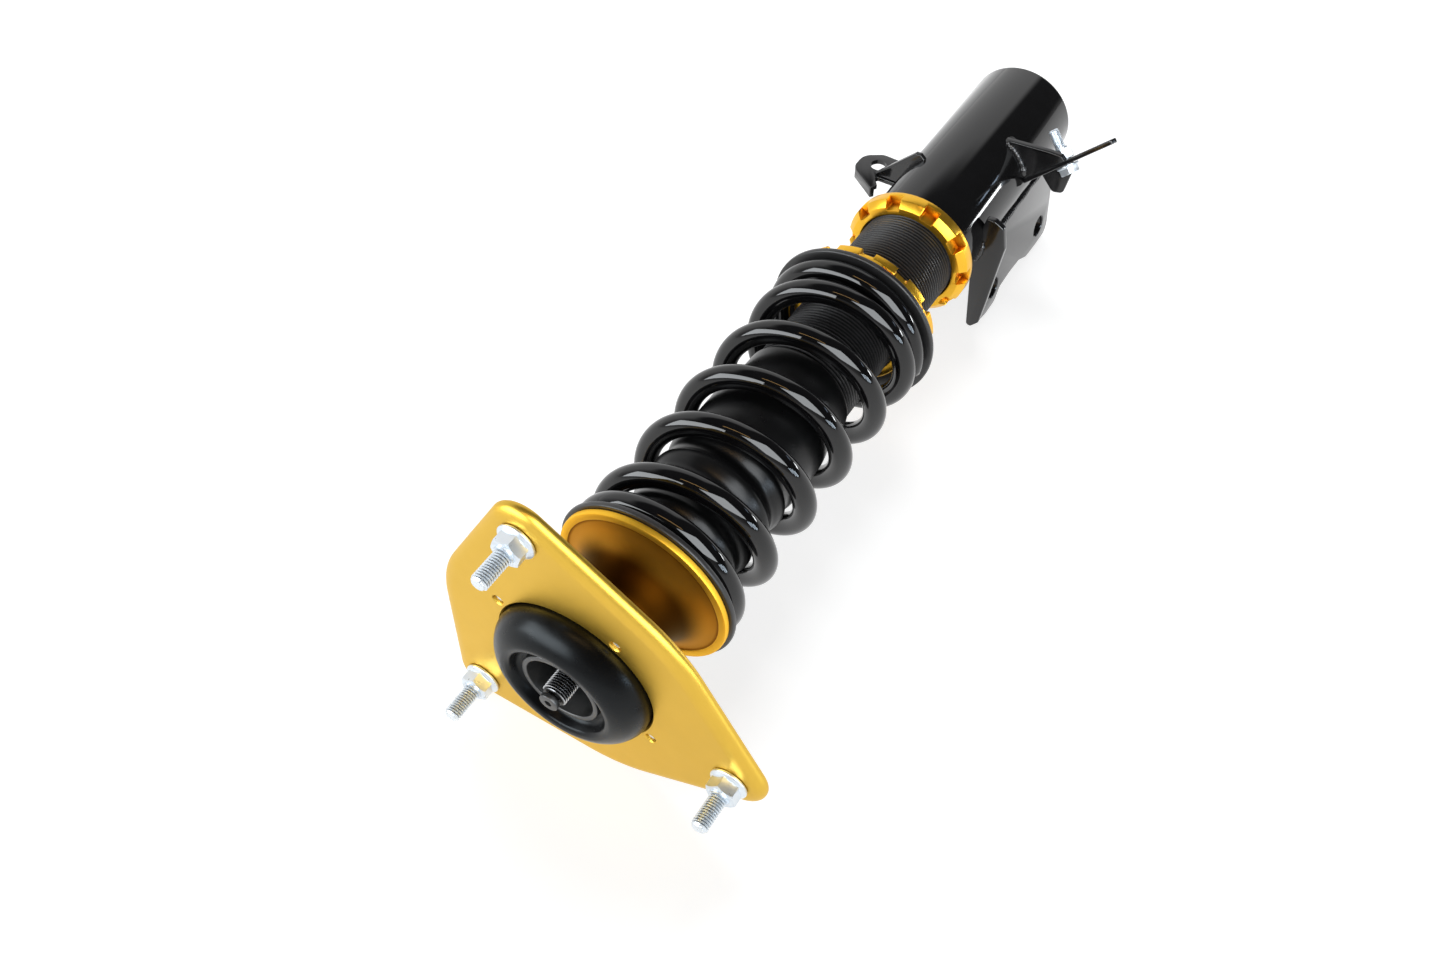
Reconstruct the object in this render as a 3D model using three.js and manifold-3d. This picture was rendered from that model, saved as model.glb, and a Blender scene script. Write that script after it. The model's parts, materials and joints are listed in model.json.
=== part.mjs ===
// Coilover strut with a bolt-on top mount and a two-ear knuckle bracket.
// Millimetres and degrees. +Z runs up the strut axis to the top mount. The origin is the
// centre of the closed lower end of the bracket tube. The ears reach out towards -Y;
// right is +X and left is -X. Azimuths are measured from +X towards +Y.

import * as THREE from "three";
import { mergeVertices } from "three/addons/utils/BufferGeometryUtils.js";
import Module from "manifold-3d";

const wasm = await Module();
wasm.setup();

// ---------- shared dimensions ----------
const GAP = 0.3; // clearance between neighbouring solids
const OVERCUT = 10; // how far a cutter runs past the faces it cuts
const BIG = 36; // facets on the large turned parts
const MID = 22; // facets on the middle-sized turned parts
const SMALL = 14; // facets on pins, stems and small holes

const TUBE_R = 30; // lower bracket tube, outside
const TUBE_TOP = 139;
const BODY_R = 26.5; // threaded damper body, M53 x 2
const BORE_R = BODY_R + GAP; // threaded bore of every part on the body

const ROD_R = 11;
const ROD_SHOULDER = 426.8; // where the rod steps down to its top thread
const SEAT_BOTTOM = 385.5; // upper spring seat
const SEAT_TOP = 418;
const PERCH_TOP = 204.7; // face under the lower spring isolator

const PLATE_TOP = 448;
const PLATE_T = 7;
const PLATE_BOTTOM = PLATE_TOP - PLATE_T;

// ---------- materials ----------
const FINISH = {
  gold: { color: 0xd9a93c, roughness: 0.38, metalness: 0.9 },
  goldBright: { color: 0xf0b428, roughness: 0.25, metalness: 0.95 },
  black: { color: 0x0c0c0d, roughness: 0.25, metalness: 0.3 },
  satin: { color: 0x141415, roughness: 0.5, metalness: 0.3 },
  rubber: { color: 0x151516, roughness: 0.75, metalness: 0 },
  zinc: { color: 0xc9d2da, roughness: 0.3, metalness: 1 },
  steel: { color: 0x6d7176, roughness: 0.35, metalness: 1 },
  chrome: { color: 0xd8dadc, roughness: 0.08, metalness: 1 },
  bronze: { color: 0x9a7a3a, roughness: 0.5, metalness: 0.7 },
  plastic: { color: 0x2a2f33, roughness: 0.5, metalness: 0 },
};

// ---------- outlines ----------
const radians = THREE.MathUtils.degToRad;
const polar = (radius, azimuth) => [
  radius * Math.cos(radians(azimuth)),
  radius * Math.sin(radians(azimuth)),
];

function arc([x, y], radius, from, to, steps) {
  return Array.from({ length: steps + 1 }, (_, i) => {
    const [dx, dy] = polar(radius, from + ((to - from) * i) / steps);
    return [x + dx, y + dy];
  });
}

const polygon = (radius, sides) =>
  Array.from({ length: sides }, (_, i) => polar(radius, (360 / sides) * i));
const hexagon = (acrossFlats) => polygon(acrossFlats / Math.sqrt(3), 6);

// Rounds an outline. Each corner is [x, y, radius]; one with no radius stays sharp.
function rounded(corners) {
  const steps = 3;
  const longestCut = 0.45; // share of an edge that one corner may take
  return corners.flatMap(([x, y, radius], i) => {
    if (!radius) return [[x, y]];
    const [before] = corners.slice(i - 1);
    const after = corners[(i + 1) % corners.length];
    const corner = new THREE.Vector2(x, y);
    const back = new THREE.Vector2(before[0], before[1]).sub(corner);
    const ahead = new THREE.Vector2(after[0], after[1]).sub(corner);
    const cut = Math.min(
      radius / Math.tan(back.angleTo(ahead) / 2),
      back.length() * longestCut,
      ahead.length() * longestCut,
    );
    const start = back.setLength(cut).add(corner);
    const end = ahead.setLength(cut).add(corner);
    const curve = new THREE.QuadraticBezierCurve(start, corner, end);
    return curve.getPoints(steps).map((point) => point.toArray());
  });
}

const shapeOf = (outline) => new THREE.Shape(outline.map(([x, y]) => new THREE.Vector2(x, y)));

// ---------- solids ----------
// A closed geometry as a manifold solid with its faces pointing out.
function solid(geometry) {
  const bare = geometry.index ? geometry.toNonIndexed() : geometry.clone();
  for (const key of Object.keys(bare.attributes)) {
    if (key !== "position") bare.deleteAttribute(key);
  }
  const merged = mergeVertices(bare, 1e-4);
  const triVerts = new Uint32Array(merged.index.array);
  const vertProperties = new Float32Array(merged.attributes.position.array);
  const build = () =>
    new wasm.Manifold(new wasm.Mesh({ numProp: 3, vertProperties, triVerts }));
  const body = build();
  if (body.volume() >= 0) return body;
  for (let i = 0; i < triVerts.length; i += 3) {
    [triVerts[i + 1], triVerts[i + 2]] = [triVerts[i + 2], triVerts[i + 1]];
  }
  return build();
}

// A profile of [radius, height] pairs turned about Z. A ring's profile closes on itself.
function turned(profile, facets) {
  const points = profile.map(([radius, z]) => new THREE.Vector2(radius, z));
  const onAxis = points[0].x === 0 && points.at(-1).x === 0;
  if (!onAxis) points.push(points[0].clone());
  return solid(new THREE.LatheGeometry(points, facets).rotateX(Math.PI / 2));
}

const disc = (radius, bottom, top, facets) =>
  turned([[0, bottom], [radius, bottom], [radius, top], [0, top]], facets);
const ring = (inner, outer, bottom, top, facets) =>
  turned([[inner, bottom], [outer, bottom], [outer, top], [inner, top]], facets);

// A flat outline of [x, y] pairs raised from bottom to top.
function slab(outline, bottom, top, bevel = 0) {
  const geometry = new THREE.ExtrudeGeometry(shapeOf(outline), {
    depth: top - bottom - 2 * bevel,
    bevelEnabled: bevel > 0,
    bevelThickness: bevel,
    bevelSize: bevel,
    bevelOffset: -bevel,
    bevelSegments: 2,
    curveSegments: 1,
  });
  return solid(geometry.translate(0, 0, bottom + bevel));
}

const block = (x0, x1, y0, y1, bottom, top) =>
  slab([[x0, y0], [x1, y0], [x1, y1], [x0, y1]], bottom, top);

const bored = (body, radius, bottom, top, facets = SMALL) =>
  body.subtract(disc(radius, bottom - OVERCUT, top + OVERCUT, facets));

const shifted = (body, radius, azimuth, z = 0) => body.translate([...polar(radius, azimuth), z]);

const vector = (x, y, z) => new THREE.Vector3(x, y, z);
const UP = vector(0, 0, 1);
const DOWN = vector(0, 0, -1);

// Lays a solid's own x, y and z along the three axes of a frame, from an origin.
function place(body, [xAxis, yAxis, zAxis], origin = vector(0, 0, 0)) {
  return body.transform([
    ...xAxis.toArray(), 0,
    ...yAxis.toArray(), 0,
    ...zAxis.toArray(), 0,
    ...origin.toArray(), 1,
  ]);
}

// Cuts evenly spaced spanner notches into a rim.
function notched(body, { count, firstAzimuth, floorR, outerR, halfWidth, bottom, top }) {
  const cutter = block(floorR, outerR, -halfWidth, halfWidth, bottom, top);
  for (let i = 0; i < count; i++) {
    body = body.subtract(cutter.rotate([0, 0, (360 / count) * i + firstAzimuth]));
  }
  return body;
}

const coilover = new THREE.Group();
coilover.name = "coilover";

function add(name, body, finish) {
  const { vertProperties, triVerts } = body.getMesh();
  const indexed = new THREE.BufferGeometry();
  indexed.setAttribute(
    "position",
    new THREE.BufferAttribute(new Float32Array(vertProperties), 3),
  );
  indexed.setIndex(new THREE.BufferAttribute(new Uint32Array(triVerts), 1));
  const geometry = indexed.toNonIndexed(); // flat shading
  geometry.computeVertexNormals();
  const mesh = new THREE.Mesh(geometry, new THREE.MeshStandardMaterial(finish));
  mesh.name = name;
  coilover.add(mesh);
}

// ---------- lower bracket tube ----------
add("bracket_tube", turned([
  [BORE_R, 0], [TUBE_R - 1, 0], [TUBE_R, 1], [TUBE_R, TUBE_TOP], [BORE_R, TUBE_TOP],
], BIG), FINISH.black);
add("bottom_cap", disc(BORE_R - GAP, 0, 6, BIG), FINISH.black);

// The brackets stop just short of the tube's wall.
const tubeSpace = disc(TUBE_R + GAP, -20, TUBE_TOP + 20, BIG);
const addBracket = (name, body) => add(name, body.subtract(tubeSpace), FINISH.satin);

// ---------- knuckle ears ----------
const EAR_AZ = 4.5; // direction of the ear plates' normal
const EAR_IN = 24; // faces of each ear, from the axis
const EAR_OUT = 28.5;
const EAR_TOP = 111.7;
const EAR_BOTTOM = 12;
const EAR_HOLE_R = 6.3;
const EAR_HOLE_REACH = 54; // from the axis, along the ears
const EAR_HOLE_HEIGHTS = [26.7, 90];

const earNormal = vector(...polar(1, EAR_AZ), 0);
const earAlong = vector(...polar(1, EAR_AZ - 90), 0); // away from the axis
const earFrame = [earAlong, UP, earNormal.clone().negate()];
const acrossEarsFrame = [earNormal, earAlong, DOWN];

// [distance along the ear, height, corner radius]
const earOutline = rounded([
  [5, EAR_TOP], [61, EAR_TOP, 4], [66, 106, 4], [67.6, 98, 4], [67.2, 86, 6],
  [61, 79.5, 5], [60.2, 66, 6], [61, 53, 5], [66.6, 42, 6], [67.4, 28, 6],
  [66.8, EAR_BOTTOM, 6], [44, EAR_BOTTOM, 3], [5, EAR_BOTTOM],
]);

// The plate grows along the reversed normal from its most positive face.
function ear(positiveFace) {
  const plate = slab(earOutline, 0, EAR_OUT - EAR_IN);
  let body = place(plate, earFrame, earNormal.clone().multiplyScalar(positiveFace));
  for (const height of EAR_HOLE_HEIGHTS) {
    const centre = earAlong.clone().multiplyScalar(EAR_HOLE_REACH).setZ(height);
    body = body.subtract(place(disc(EAR_HOLE_R, -60, 60, SMALL), earFrame, centre));
  }
  return body;
}
addBracket("knuckle_ear_right", ear(EAR_OUT));
addBracket("knuckle_ear_left", ear(-EAR_IN));

// Flat fin over the top edge of the right ear: [along the normal, along the ear, radius]
const FIN_HALF_T = 2;
const finOutline = rounded([
  [24, 62.5, 2], [24, 10], [31, -14], [35.5, -14, 2], [41, -10.5, 2],
  [42.5, 3, 4], [40.2, 14.1], [34.8, 42], [31.3, 59.1, 1.5], [26.6, 63.7, 2],
]);
addBracket("ear_fin_right", place(
  slab(finOutline, -FIN_HALF_T, FIN_HALF_T),
  acrossEarsFrame,
  vector(0, 0, EAR_TOP + GAP + FIN_HALF_T),
));

// Flat web that joins the two ears.
const WEB_HALF_WIDTH = EAR_IN - GAP;
addBracket("ear_web_plate", place(
  block(-WEB_HALF_WIDTH, WEB_HALF_WIDTH, 6, 38, -2, 2),
  acrossEarsFrame,
  vector(0, 0, 103),
));

// ---------- brake-hose tab, on the left ----------
const TAB_BACK = 4; // its +Y face
const TAB_T = 2.8;
const tabFrame = [vector(1, 0, 0), UP, vector(0, -1, 0)];

// Level gusset on the +Y side of the tab: [x, y, radius]
const hoseGussetOutline = rounded([
  [-10, 20], [-20.2, 28.6, 0.6], [-23.8, 28.8, 0.8], [-44.2, 5.2, 0.8],
  [-43.4, TAB_BACK + GAP, 0.6], [-20, TAB_BACK + GAP],
]);
addBracket("hose_tab_gusset_left", slab(hoseGussetOutline, 97, 100));

// [x, z, radius]
const tabOutline = rounded([
  [-22, 100.5], [-43.5, 101, 1.5], [-38.5, 107.5, 1], [-41.5, 110.5, 1], [-58, 98.8, 4],
  [-57.5, 91, 4], [-51, 86, 4], [-45.5, 82, 4], [-38, 81.5, 3], [-22, 85],
]);
// Strip along the tab's sloping top edge, folded towards -Y: [x, z]
const lipOutline = [[-40.9, 110.9], [-39.4, 108.9], [-55.2, 97.7], [-56.8, 99.6]];

function hoseTab() {
  const sheet = place(slab(tabOutline, -TAB_BACK, TAB_T - TAB_BACK), tabFrame);
  const lip = place(slab(lipOutline, -TAB_BACK, 3.2), tabFrame);
  const hole = place(disc(3.6, -20, 20, 16), tabFrame, vector(-46.3, 0, 91.2));
  return sheet.add(lip).subtract(hole);
}
addBracket("hose_tab_left", hoseTab());

// ---------- sensor-line bracket, on the right ----------
// A sheet arm runs out from the tube along armAlong, its width along armAcross.
// Its bolt stands along armNormal.
const armNormal = vector(0.68, -0.657, 0.324).normalize();
const armAlong = vector(0.695, 0.719, 0);
armAlong.addScaledVector(armNormal, -armAlong.dot(armNormal)).normalize();
const armAcross = vector(0, 0, 0).crossVectors(armNormal, armAlong);
const armFrame = [armAlong, armAcross, armNormal];
const LINE_GUSSET_TOP = 62;
const armOrigin = vector(46.8, 25, LINE_GUSSET_TOP);
const ARM_T = 2.6;
const LINE_HEX = 10; // across flats of the bolt head and the nut
const LINE_FLANGE_R = 6.2;
const LINE_FLANGE_T = 1.3;
const LINE_BOLT_R = 3;
const LINE_HOLE_R = LINE_BOLT_R + GAP;
const lineBoltAt = armOrigin.clone()
  .addScaledVector(armAlong, -4)
  .addScaledVector(armAcross, -10.5);

// Level gusset, cut back to clear the arm: [x, y, radius]
const lineGussetOutline = rounded([
  [5, 20], [14.5, 26.5, 1], [40, 28.6, 4], [46.6, 28.4, 1.5], [50, 25], [29, 3], [20, 2],
]);
const armSpace = place(block(-40, 50, -40, 20, -GAP, 20), armFrame, armOrigin);
addBracket(
  "line_gusset_right",
  slab(lineGussetOutline, 58.5, LINE_GUSSET_TOP).subtract(armSpace),
);

// [along, across, radius]
const armOutline = rounded([
  [-30, 0], [33.5, 0, 1], [33.5, -6, 2], [15, -8.5, 4], [9, -18, 3], [-30, -18],
]);
// Level lug at the arm's lower edge: [x, y, radius]
const lugOutline = rounded([
  [33.5, 0.5], [49, 15.5, 1], [50.5, 11, 2], [47.6, -7, 2], [41.5, -8.6, 2],
]);

function lineArm() {
  const sheet = place(slab(armOutline, 0, ARM_T), armFrame, armOrigin);
  const hole = place(disc(LINE_HOLE_R, -10, 10, SMALL), armFrame, lineBoltAt);
  return sheet.add(slab(lugOutline, 43.8, 46.2)).subtract(hole);
}
addBracket("line_arm_right", lineArm());

function lineBolt() {
  const headBottom = ARM_T + GAP;
  const body = disc(LINE_BOLT_R, -17.5, headBottom + 0.3, SMALL)
    .add(slab(hexagon(LINE_HEX), headBottom, 8))
    .add(disc(LINE_FLANGE_R, headBottom, headBottom + LINE_FLANGE_T, SMALL));
  return place(body, armFrame, lineBoltAt);
}
add("line_bolt", lineBolt(), FINISH.zinc);

function lineNut() {
  const body = slab(hexagon(LINE_HEX), -6, -GAP)
    .add(disc(LINE_FLANGE_R, -GAP - LINE_FLANGE_T, -GAP, SMALL));
  return place(bored(body, LINE_HOLE_R, -6, -GAP), armFrame, lineBoltAt);
}
add("line_nut", lineNut(), FINISH.zinc);

// ---------- bracket lock ring ----------
const RING_R = 34.9;
const RING_FACE_R = 31.6; // top face, inside the chamfer
const RING_BORE_R = BORE_R + 0.1;
const RING_BOTTOM = TUBE_TOP + GAP;
const RING_TOP = 149;

const lockRing = turned([
  [RING_BORE_R, RING_BOTTOM], [RING_R, RING_BOTTOM], [RING_R, RING_TOP - 3.4],
  [RING_FACE_R, RING_TOP], [RING_BORE_R, RING_TOP],
], 40);
add("lower_lock_ring", notched(lockRing, {
  count: 10, firstAzimuth: 1, floorR: 30.4, outerR: 40, halfWidth: 5, bottom: 142.6, top: 155,
}), FINISH.goldBright);

// ---------- damper ----------
const BODY_BORE = 22; // inside radius
const BODY_BOTTOM = 40;
const BODY_TOP = 275;
const INNER_R = BODY_BORE - GAP; // parts inside the body
add("threaded_body", ring(BODY_BORE, BODY_R, BODY_BOTTOM, BODY_TOP, BIG), FINISH.satin);
add("body_base_plug", disc(INNER_R, BODY_BOTTOM + GAP, 50, MID), FINISH.steel);

const O_RING_GROOVE = { radius: 19.6, bottom: 87.2, top: 90.8 };
add("floating_piston", turned([
  [0, 84], [INNER_R, 84],
  [INNER_R, O_RING_GROOVE.bottom], [O_RING_GROOVE.radius, O_RING_GROOVE.bottom],
  [O_RING_GROOVE.radius, O_RING_GROOVE.top], [INNER_R, O_RING_GROOVE.top],
  [INNER_R, 94], [0, 94],
], MID), FINISH.steel);
add("floating_piston_o_ring", ring(
  O_RING_GROOVE.radius + GAP, INNER_R, O_RING_GROOVE.bottom + GAP, O_RING_GROOVE.top - GAP, MID,
), FINISH.rubber);

const SPIGOT_R = 6; // lower end of the rod, through the piston
const SPIGOT_TOP = 238;
const PISTON_BOTTOM = 222;
const PISTON_TOP = SPIGOT_TOP - GAP;
const PISTON_R = INNER_R - 1;
const PISTON_BORE_R = SPIGOT_R + GAP;
const BAND_GROOVE = { radius: INNER_R - 1.6, bottom: 225, top: 235 };
add("piston", turned([
  [PISTON_BORE_R, PISTON_BOTTOM], [PISTON_R, PISTON_BOTTOM],
  [PISTON_R, BAND_GROOVE.bottom], [BAND_GROOVE.radius, BAND_GROOVE.bottom],
  [BAND_GROOVE.radius, BAND_GROOVE.top], [PISTON_R, BAND_GROOVE.top],
  [PISTON_R, PISTON_TOP], [PISTON_BORE_R, PISTON_TOP],
], MID), FINISH.steel);
add("piston_band", ring(
  BAND_GROOVE.radius + GAP, INNER_R, BAND_GROOVE.bottom + GAP, BAND_GROOVE.top - GAP, MID,
), FINISH.plastic);

const ROD_NUT_HEX = 19; // across flats, at both ends of the rod
const rodNut = (bottom, top, boreR) =>
  bored(slab(hexagon(ROD_NUT_HEX), bottom, top), boreR, bottom, top);
add("piston_nut", rodNut(213, PISTON_BOTTOM - GAP, PISTON_BORE_R), FINISH.steel);

const GUIDE_BORE_R = ROD_R + GAP;
const GUIDE_TOP = 268;
const SEAL_TOP = 272.5;
const GLAND_BORE_R = ROD_R + 0.6;
const GLAND_R = BODY_R - 0.5;
const GLAND_TOP = 278.6;
add("rod_guide", turned([
  [GUIDE_BORE_R, 252], [INNER_R - 3, 252], [INNER_R, 255],
  [INNER_R, GUIDE_TOP], [GUIDE_BORE_R, GUIDE_TOP],
], MID), FINISH.steel);
add("rod_seal", ring(GUIDE_BORE_R, INNER_R, GUIDE_TOP + GAP, SEAL_TOP, MID), FINISH.rubber);
add("gland_nut", turned([
  [GLAND_BORE_R, SEAL_TOP + GAP], [INNER_R, SEAL_TOP + GAP],
  [INNER_R, BODY_TOP + GAP], [GLAND_R, BODY_TOP + GAP],
  [GLAND_R, GLAND_TOP - 1], [GLAND_R - 1, GLAND_TOP], [GLAND_BORE_R, GLAND_TOP],
], MID), FINISH.satin);

// The rod is drilled through for the damping needle, and stepped for the piston and the mount.
const ROD_BORE_R = 2.5;
const ROD_BOTTOM = 212;
const ROD_END = 463.5;
const ROD_THREAD_R = 5.8;
add("piston_rod", turned([
  [ROD_BORE_R, ROD_BOTTOM], [SPIGOT_R, ROD_BOTTOM], [SPIGOT_R, SPIGOT_TOP], [ROD_R, SPIGOT_TOP],
  [ROD_R, ROD_SHOULDER - 0.8], [ROD_R - 0.8, ROD_SHOULDER], [ROD_THREAD_R, ROD_SHOULDER],
  [ROD_THREAD_R, ROD_END - 1], [ROD_THREAD_R - 1, ROD_END], [ROD_BORE_R, ROD_END],
], MID), FINISH.chrome);

// Pointed needle with a knob that has a hexagon socket.
const stem = turned([
  [0, 300], [2.1, 303], [2.1, 464.3], [4, 464.3], [4, 466.4], [3.6, 466.8], [0, 466.8],
], SMALL);
add("damping_adjuster_stem", stem.subtract(slab(hexagon(3), 465, 470)), FINISH.steel);

// ---------- spring perch ----------
const LOCK_BOTTOM = 193.5; // lock ring under the perch
const LOCK_TOP = 199.5;
const LOCK_R = 39.6;
const PERCH_BOTTOM = LOCK_TOP + GAP;
const PERCH_R = 41.5;
const COLLAR_R = 31.2; // collar that centres the isolator
const COLLAR_TOP = 211.6;
const PERCH_NOTCHES = { count: 12, outerR: 50, halfWidth: 3.6, bottom: 190 };

const perch = turned([
  [BORE_R, PERCH_BOTTOM], [PERCH_R - 0.8, PERCH_BOTTOM], [PERCH_R, PERCH_BOTTOM + 0.8],
  [PERCH_R, PERCH_TOP], [COLLAR_R, PERCH_TOP], [COLLAR_R, COLLAR_TOP], [BORE_R, COLLAR_TOP],
], BIG);
add("spring_perch", notched(perch, {
  ...PERCH_NOTCHES, firstAzimuth: 9, floorR: 38.6, top: 203,
}), FINISH.goldBright);

const perchLock = turned([
  [BORE_R, LOCK_BOTTOM], [LOCK_R - 1, LOCK_BOTTOM], [LOCK_R, LOCK_BOTTOM + 1],
  [LOCK_R, LOCK_TOP], [BORE_R, LOCK_TOP],
], BIG);
add("perch_lock_ring", notched(perchLock, {
  ...PERCH_NOTCHES, firstAzimuth: 0, floorR: 36.6, top: 201.5,
}), FINISH.goldBright);

// Rubber ring with a slightly crowned rim, used under and over the spring.
const ISO_R = 45.4;
const ISO_IN = 31.8;
const ISO_T = 3;
const isolator = (bottom) => turned([
  [ISO_IN, bottom], [ISO_R - 0.4, bottom], [ISO_R, bottom + ISO_T / 2],
  [ISO_R - 0.4, bottom + ISO_T], [ISO_IN, bottom + ISO_T],
], BIG);
add("lower_spring_isolator", isolator(PERCH_TOP + GAP), FINISH.rubber);

// ---------- spring ----------
const SPRING_R = 37.7; // mean radius of the coil
const WIRE_R = 5.76;
const SPRING_LOW = 214.1; // wire centre heights of the closed end turns
const SPRING_HIGH = 386.2;
const SPRING_START_AZ = 63.7; // azimuth at zero turns

// [turns, wire centre height]; the end turns lie flat.
const springTurns = [
  [-0.2, SPRING_LOW], [0.1, SPRING_LOW + 0.1], [0.45, 216.6], [1, 227],
  [2, 259.3], [3, 293.4], [4, 327.2], [4.95, 360.6],
  [5.4, 375.2], [5.8, 383.8], [6.1, SPRING_HIGH - 0.2], [6.4, SPRING_HIGH],
];
const springSlopes = springTurns.map((_, i) => {
  const before = springTurns[i - 1];
  const after = springTurns[i + 1];
  return before && after ? (after[1] - before[1]) / (after[0] - before[0]) : 0;
});

// Cubic Hermite curve through the table.
function springHeight(turns) {
  let i = 0;
  while (i < springTurns.length - 2 && turns > springTurns[i + 1][0]) i++;
  const [startTurns, startZ] = springTurns[i];
  const [endTurns, endZ] = springTurns[i + 1];
  const span = endTurns - startTurns;
  const t = THREE.MathUtils.clamp((turns - startTurns) / span, 0, 1);
  return (
    (2 * t ** 3 - 3 * t ** 2 + 1) * startZ +
    (t ** 3 - 2 * t ** 2 + t) * span * springSlopes[i] +
    (-2 * t ** 3 + 3 * t ** 2) * endZ +
    (t ** 3 - t ** 2) * span * springSlopes[i + 1]
  );
}

class SpringCurve extends THREE.Curve {
  getPoint(share, target = new THREE.Vector3()) {
    const first = springTurns[0][0];
    const turns = first + share * (springTurns.at(-1)[0] - first);
    const [x, y] = polar(SPRING_R, SPRING_START_AZ + turns * 360);
    return target.set(x, y, springHeight(turns));
  }
}
add("coil_spring", solid(new THREE.ExtrudeGeometry(shapeOf(polygon(WIRE_R, 8)), {
  steps: 106,
  extrudePath: new SpringCurve(),
  bevelEnabled: false,
})), FINISH.black);

// ---------- soft parts round the rod ----------
const SOFT_TOP = SEAT_BOTTOM - GAP;
const STOP_BORE_R = ROD_R + 0.5;
const bootRib = (z) => [[31, z - 2.5], [31, z + 2.5], [29, z + 5.5]];
add("dust_boot", turned([
  [27, 262], [28, 262], [28.8, 282], [30.6, 290], [30.6, 316], [29, 321],
  ...[328, 342, 356].flatMap(bootRib),
  [22, SOFT_TOP], [20.8, SOFT_TOP], [27.4, 362], [27.4, 286], [27, 280],
], 26), FINISH.rubber);
add("bump_stop", turned([
  [STOP_BORE_R, 341], [15, 341], [18, 347], [16, 354], [18.6, 361], [16.6, 368],
  [19.2, 375], [19.2, SOFT_TOP], [STOP_BORE_R, SOFT_TOP],
], MID), FINISH.rubber);

// ---------- upper spring seat and bearing ----------
const UPPER_ISO_BOTTOM = 392.3;
const SEAT_FACE = UPPER_ISO_BOTTOM + ISO_T + GAP;
const SEAT_R = 43.4;
const SEAT_BORE_R = ROD_R + 1;
add("upper_spring_isolator", isolator(UPPER_ISO_BOTTOM), FINISH.rubber);
add("upper_spring_seat", turned([
  [SEAT_BORE_R, SEAT_BOTTOM], [30.4, SEAT_BOTTOM], [31.3, 386.5], [31.3, SEAT_FACE],
  [43, SEAT_FACE], [SEAT_R, 397], [SEAT_R, 398.2], [42.6, 398.8], [40.6, 398.6],
  [26.5, 403.6], [23, 407], [21.8, SEAT_TOP], [SEAT_BORE_R, SEAT_TOP],
], BIG), FINISH.gold);

const RACE_T = 2;
const bearingRace = (bottom) => ring(12.6, 21.5, bottom, bottom + RACE_T, MID);

// Flat ring with balls standing proud of both faces.
function ballCage() {
  const inner = 15;
  const outer = 19.4;
  const bottom = 421.4;
  const top = 423.7;
  const ballCount = 12;
  const ball = solid(new THREE.IcosahedronGeometry(1.9, 0));
  let cage = ring(inner, outer, bottom, top, MID);
  for (let i = 0; i < ballCount; i++) {
    const azimuth = (360 / ballCount) * i;
    cage = cage.add(shifted(ball, (inner + outer) / 2, azimuth, (bottom + top) / 2));
  }
  return cage;
}
add("bearing_lower_race", bearingRace(SEAT_TOP + GAP), FINISH.chrome);
add("bearing_ball_cage", ballCage(), FINISH.bronze);
add("bearing_upper_race", bearingRace(ROD_SHOULDER - RACE_T), FINISH.chrome);

// ---------- top mount centre ----------
const MOUNT_BORE_R = 6.2; // round the rod's top thread
const SLEEVE_BOTTOM = ROD_SHOULDER + GAP;
const SLEEVE_R = 19.2;
const SLEEVE_FLOOR = 440.7;
const WASHER_TOP = 443.7;
const RUBBER_IN = SLEEVE_R + GAP;
const RUBBER_BOTTOM = 432 + GAP; // above the sleeve's foot
const DOME_TOP = 462.5;
add("mount_inner_sleeve", turned([
  [MOUNT_BORE_R, SLEEVE_BOTTOM], [22, SLEEVE_BOTTOM], [22, 430], [SLEEVE_R, 432],
  [SLEEVE_R, 459], [16.6, 459], [16.6, SLEEVE_FLOOR], [MOUNT_BORE_R, SLEEVE_FLOOR],
], BIG), FINISH.steel);
add("rod_washer", ring(MOUNT_BORE_R, 15, SLEEVE_FLOOR + GAP, WASHER_TOP, MID), FINISH.zinc);
add("rod_nut", rodNut(WASHER_TOP + GAP, 454.5, MOUNT_BORE_R), FINISH.zinc);
add("mount_rubber", turned([
  [RUBBER_IN, RUBBER_BOTTOM], [34, RUBBER_BOTTOM], [38.1, 436], [38.1, 450.2],
  [36.8, 454.2], [34.2, 458.1], [30.6, 461.2], [27.4, DOME_TOP], [25, DOME_TOP - 0.6],
  [23.8, 460.6], [22.6, 456.6], [RUBBER_IN, 456],
], BIG), FINISH.rubber);

// ---------- retainer cup and its pins ----------
const PLATE_HOLE_R = 38.5;
const UNDER_PLATE = PLATE_BOTTOM - GAP;
const PIN_PCR = 43.3; // pitch circle radius
const PIN_AZ = [148, 58, -32, -122];
const PIN_R = 2.3; // pins that hold the retainer cup to the plate
const PIN_HOLE_R = PIN_R + GAP;
const PIN_BOTTOM = 437;
const PIN_TOP = 447.4;

function withPinHoles(body) {
  const cutter = disc(PIN_HOLE_R, 430 - OVERCUT, PLATE_TOP + OVERCUT, SMALL);
  for (const azimuth of PIN_AZ) body = body.subtract(shifted(cutter, PIN_PCR, azimuth));
  return body;
}
const retainer = turned([
  [34.6, 431], [41, 435], [41, 437], [49, 437], [49, UNDER_PLATE],
  [PLATE_HOLE_R, UNDER_PLATE], [PLATE_HOLE_R, 435.6], [34.4, 432],
], BIG);
add("mount_rubber_retainer", withPinHoles(retainer), FINISH.satin);

PIN_AZ.forEach((azimuth, i) => {
  const pin = turned([
    [0, PIN_BOTTOM], [PIN_R, PIN_BOTTOM], [PIN_R, PIN_TOP - 0.5], [PIN_R - 0.5, PIN_TOP],
    [0, PIN_TOP],
  ], SMALL);
  add(`retainer_pin_${i + 1}`, shifted(pin, PIN_PCR, azimuth), FINISH.zinc);
});

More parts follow.
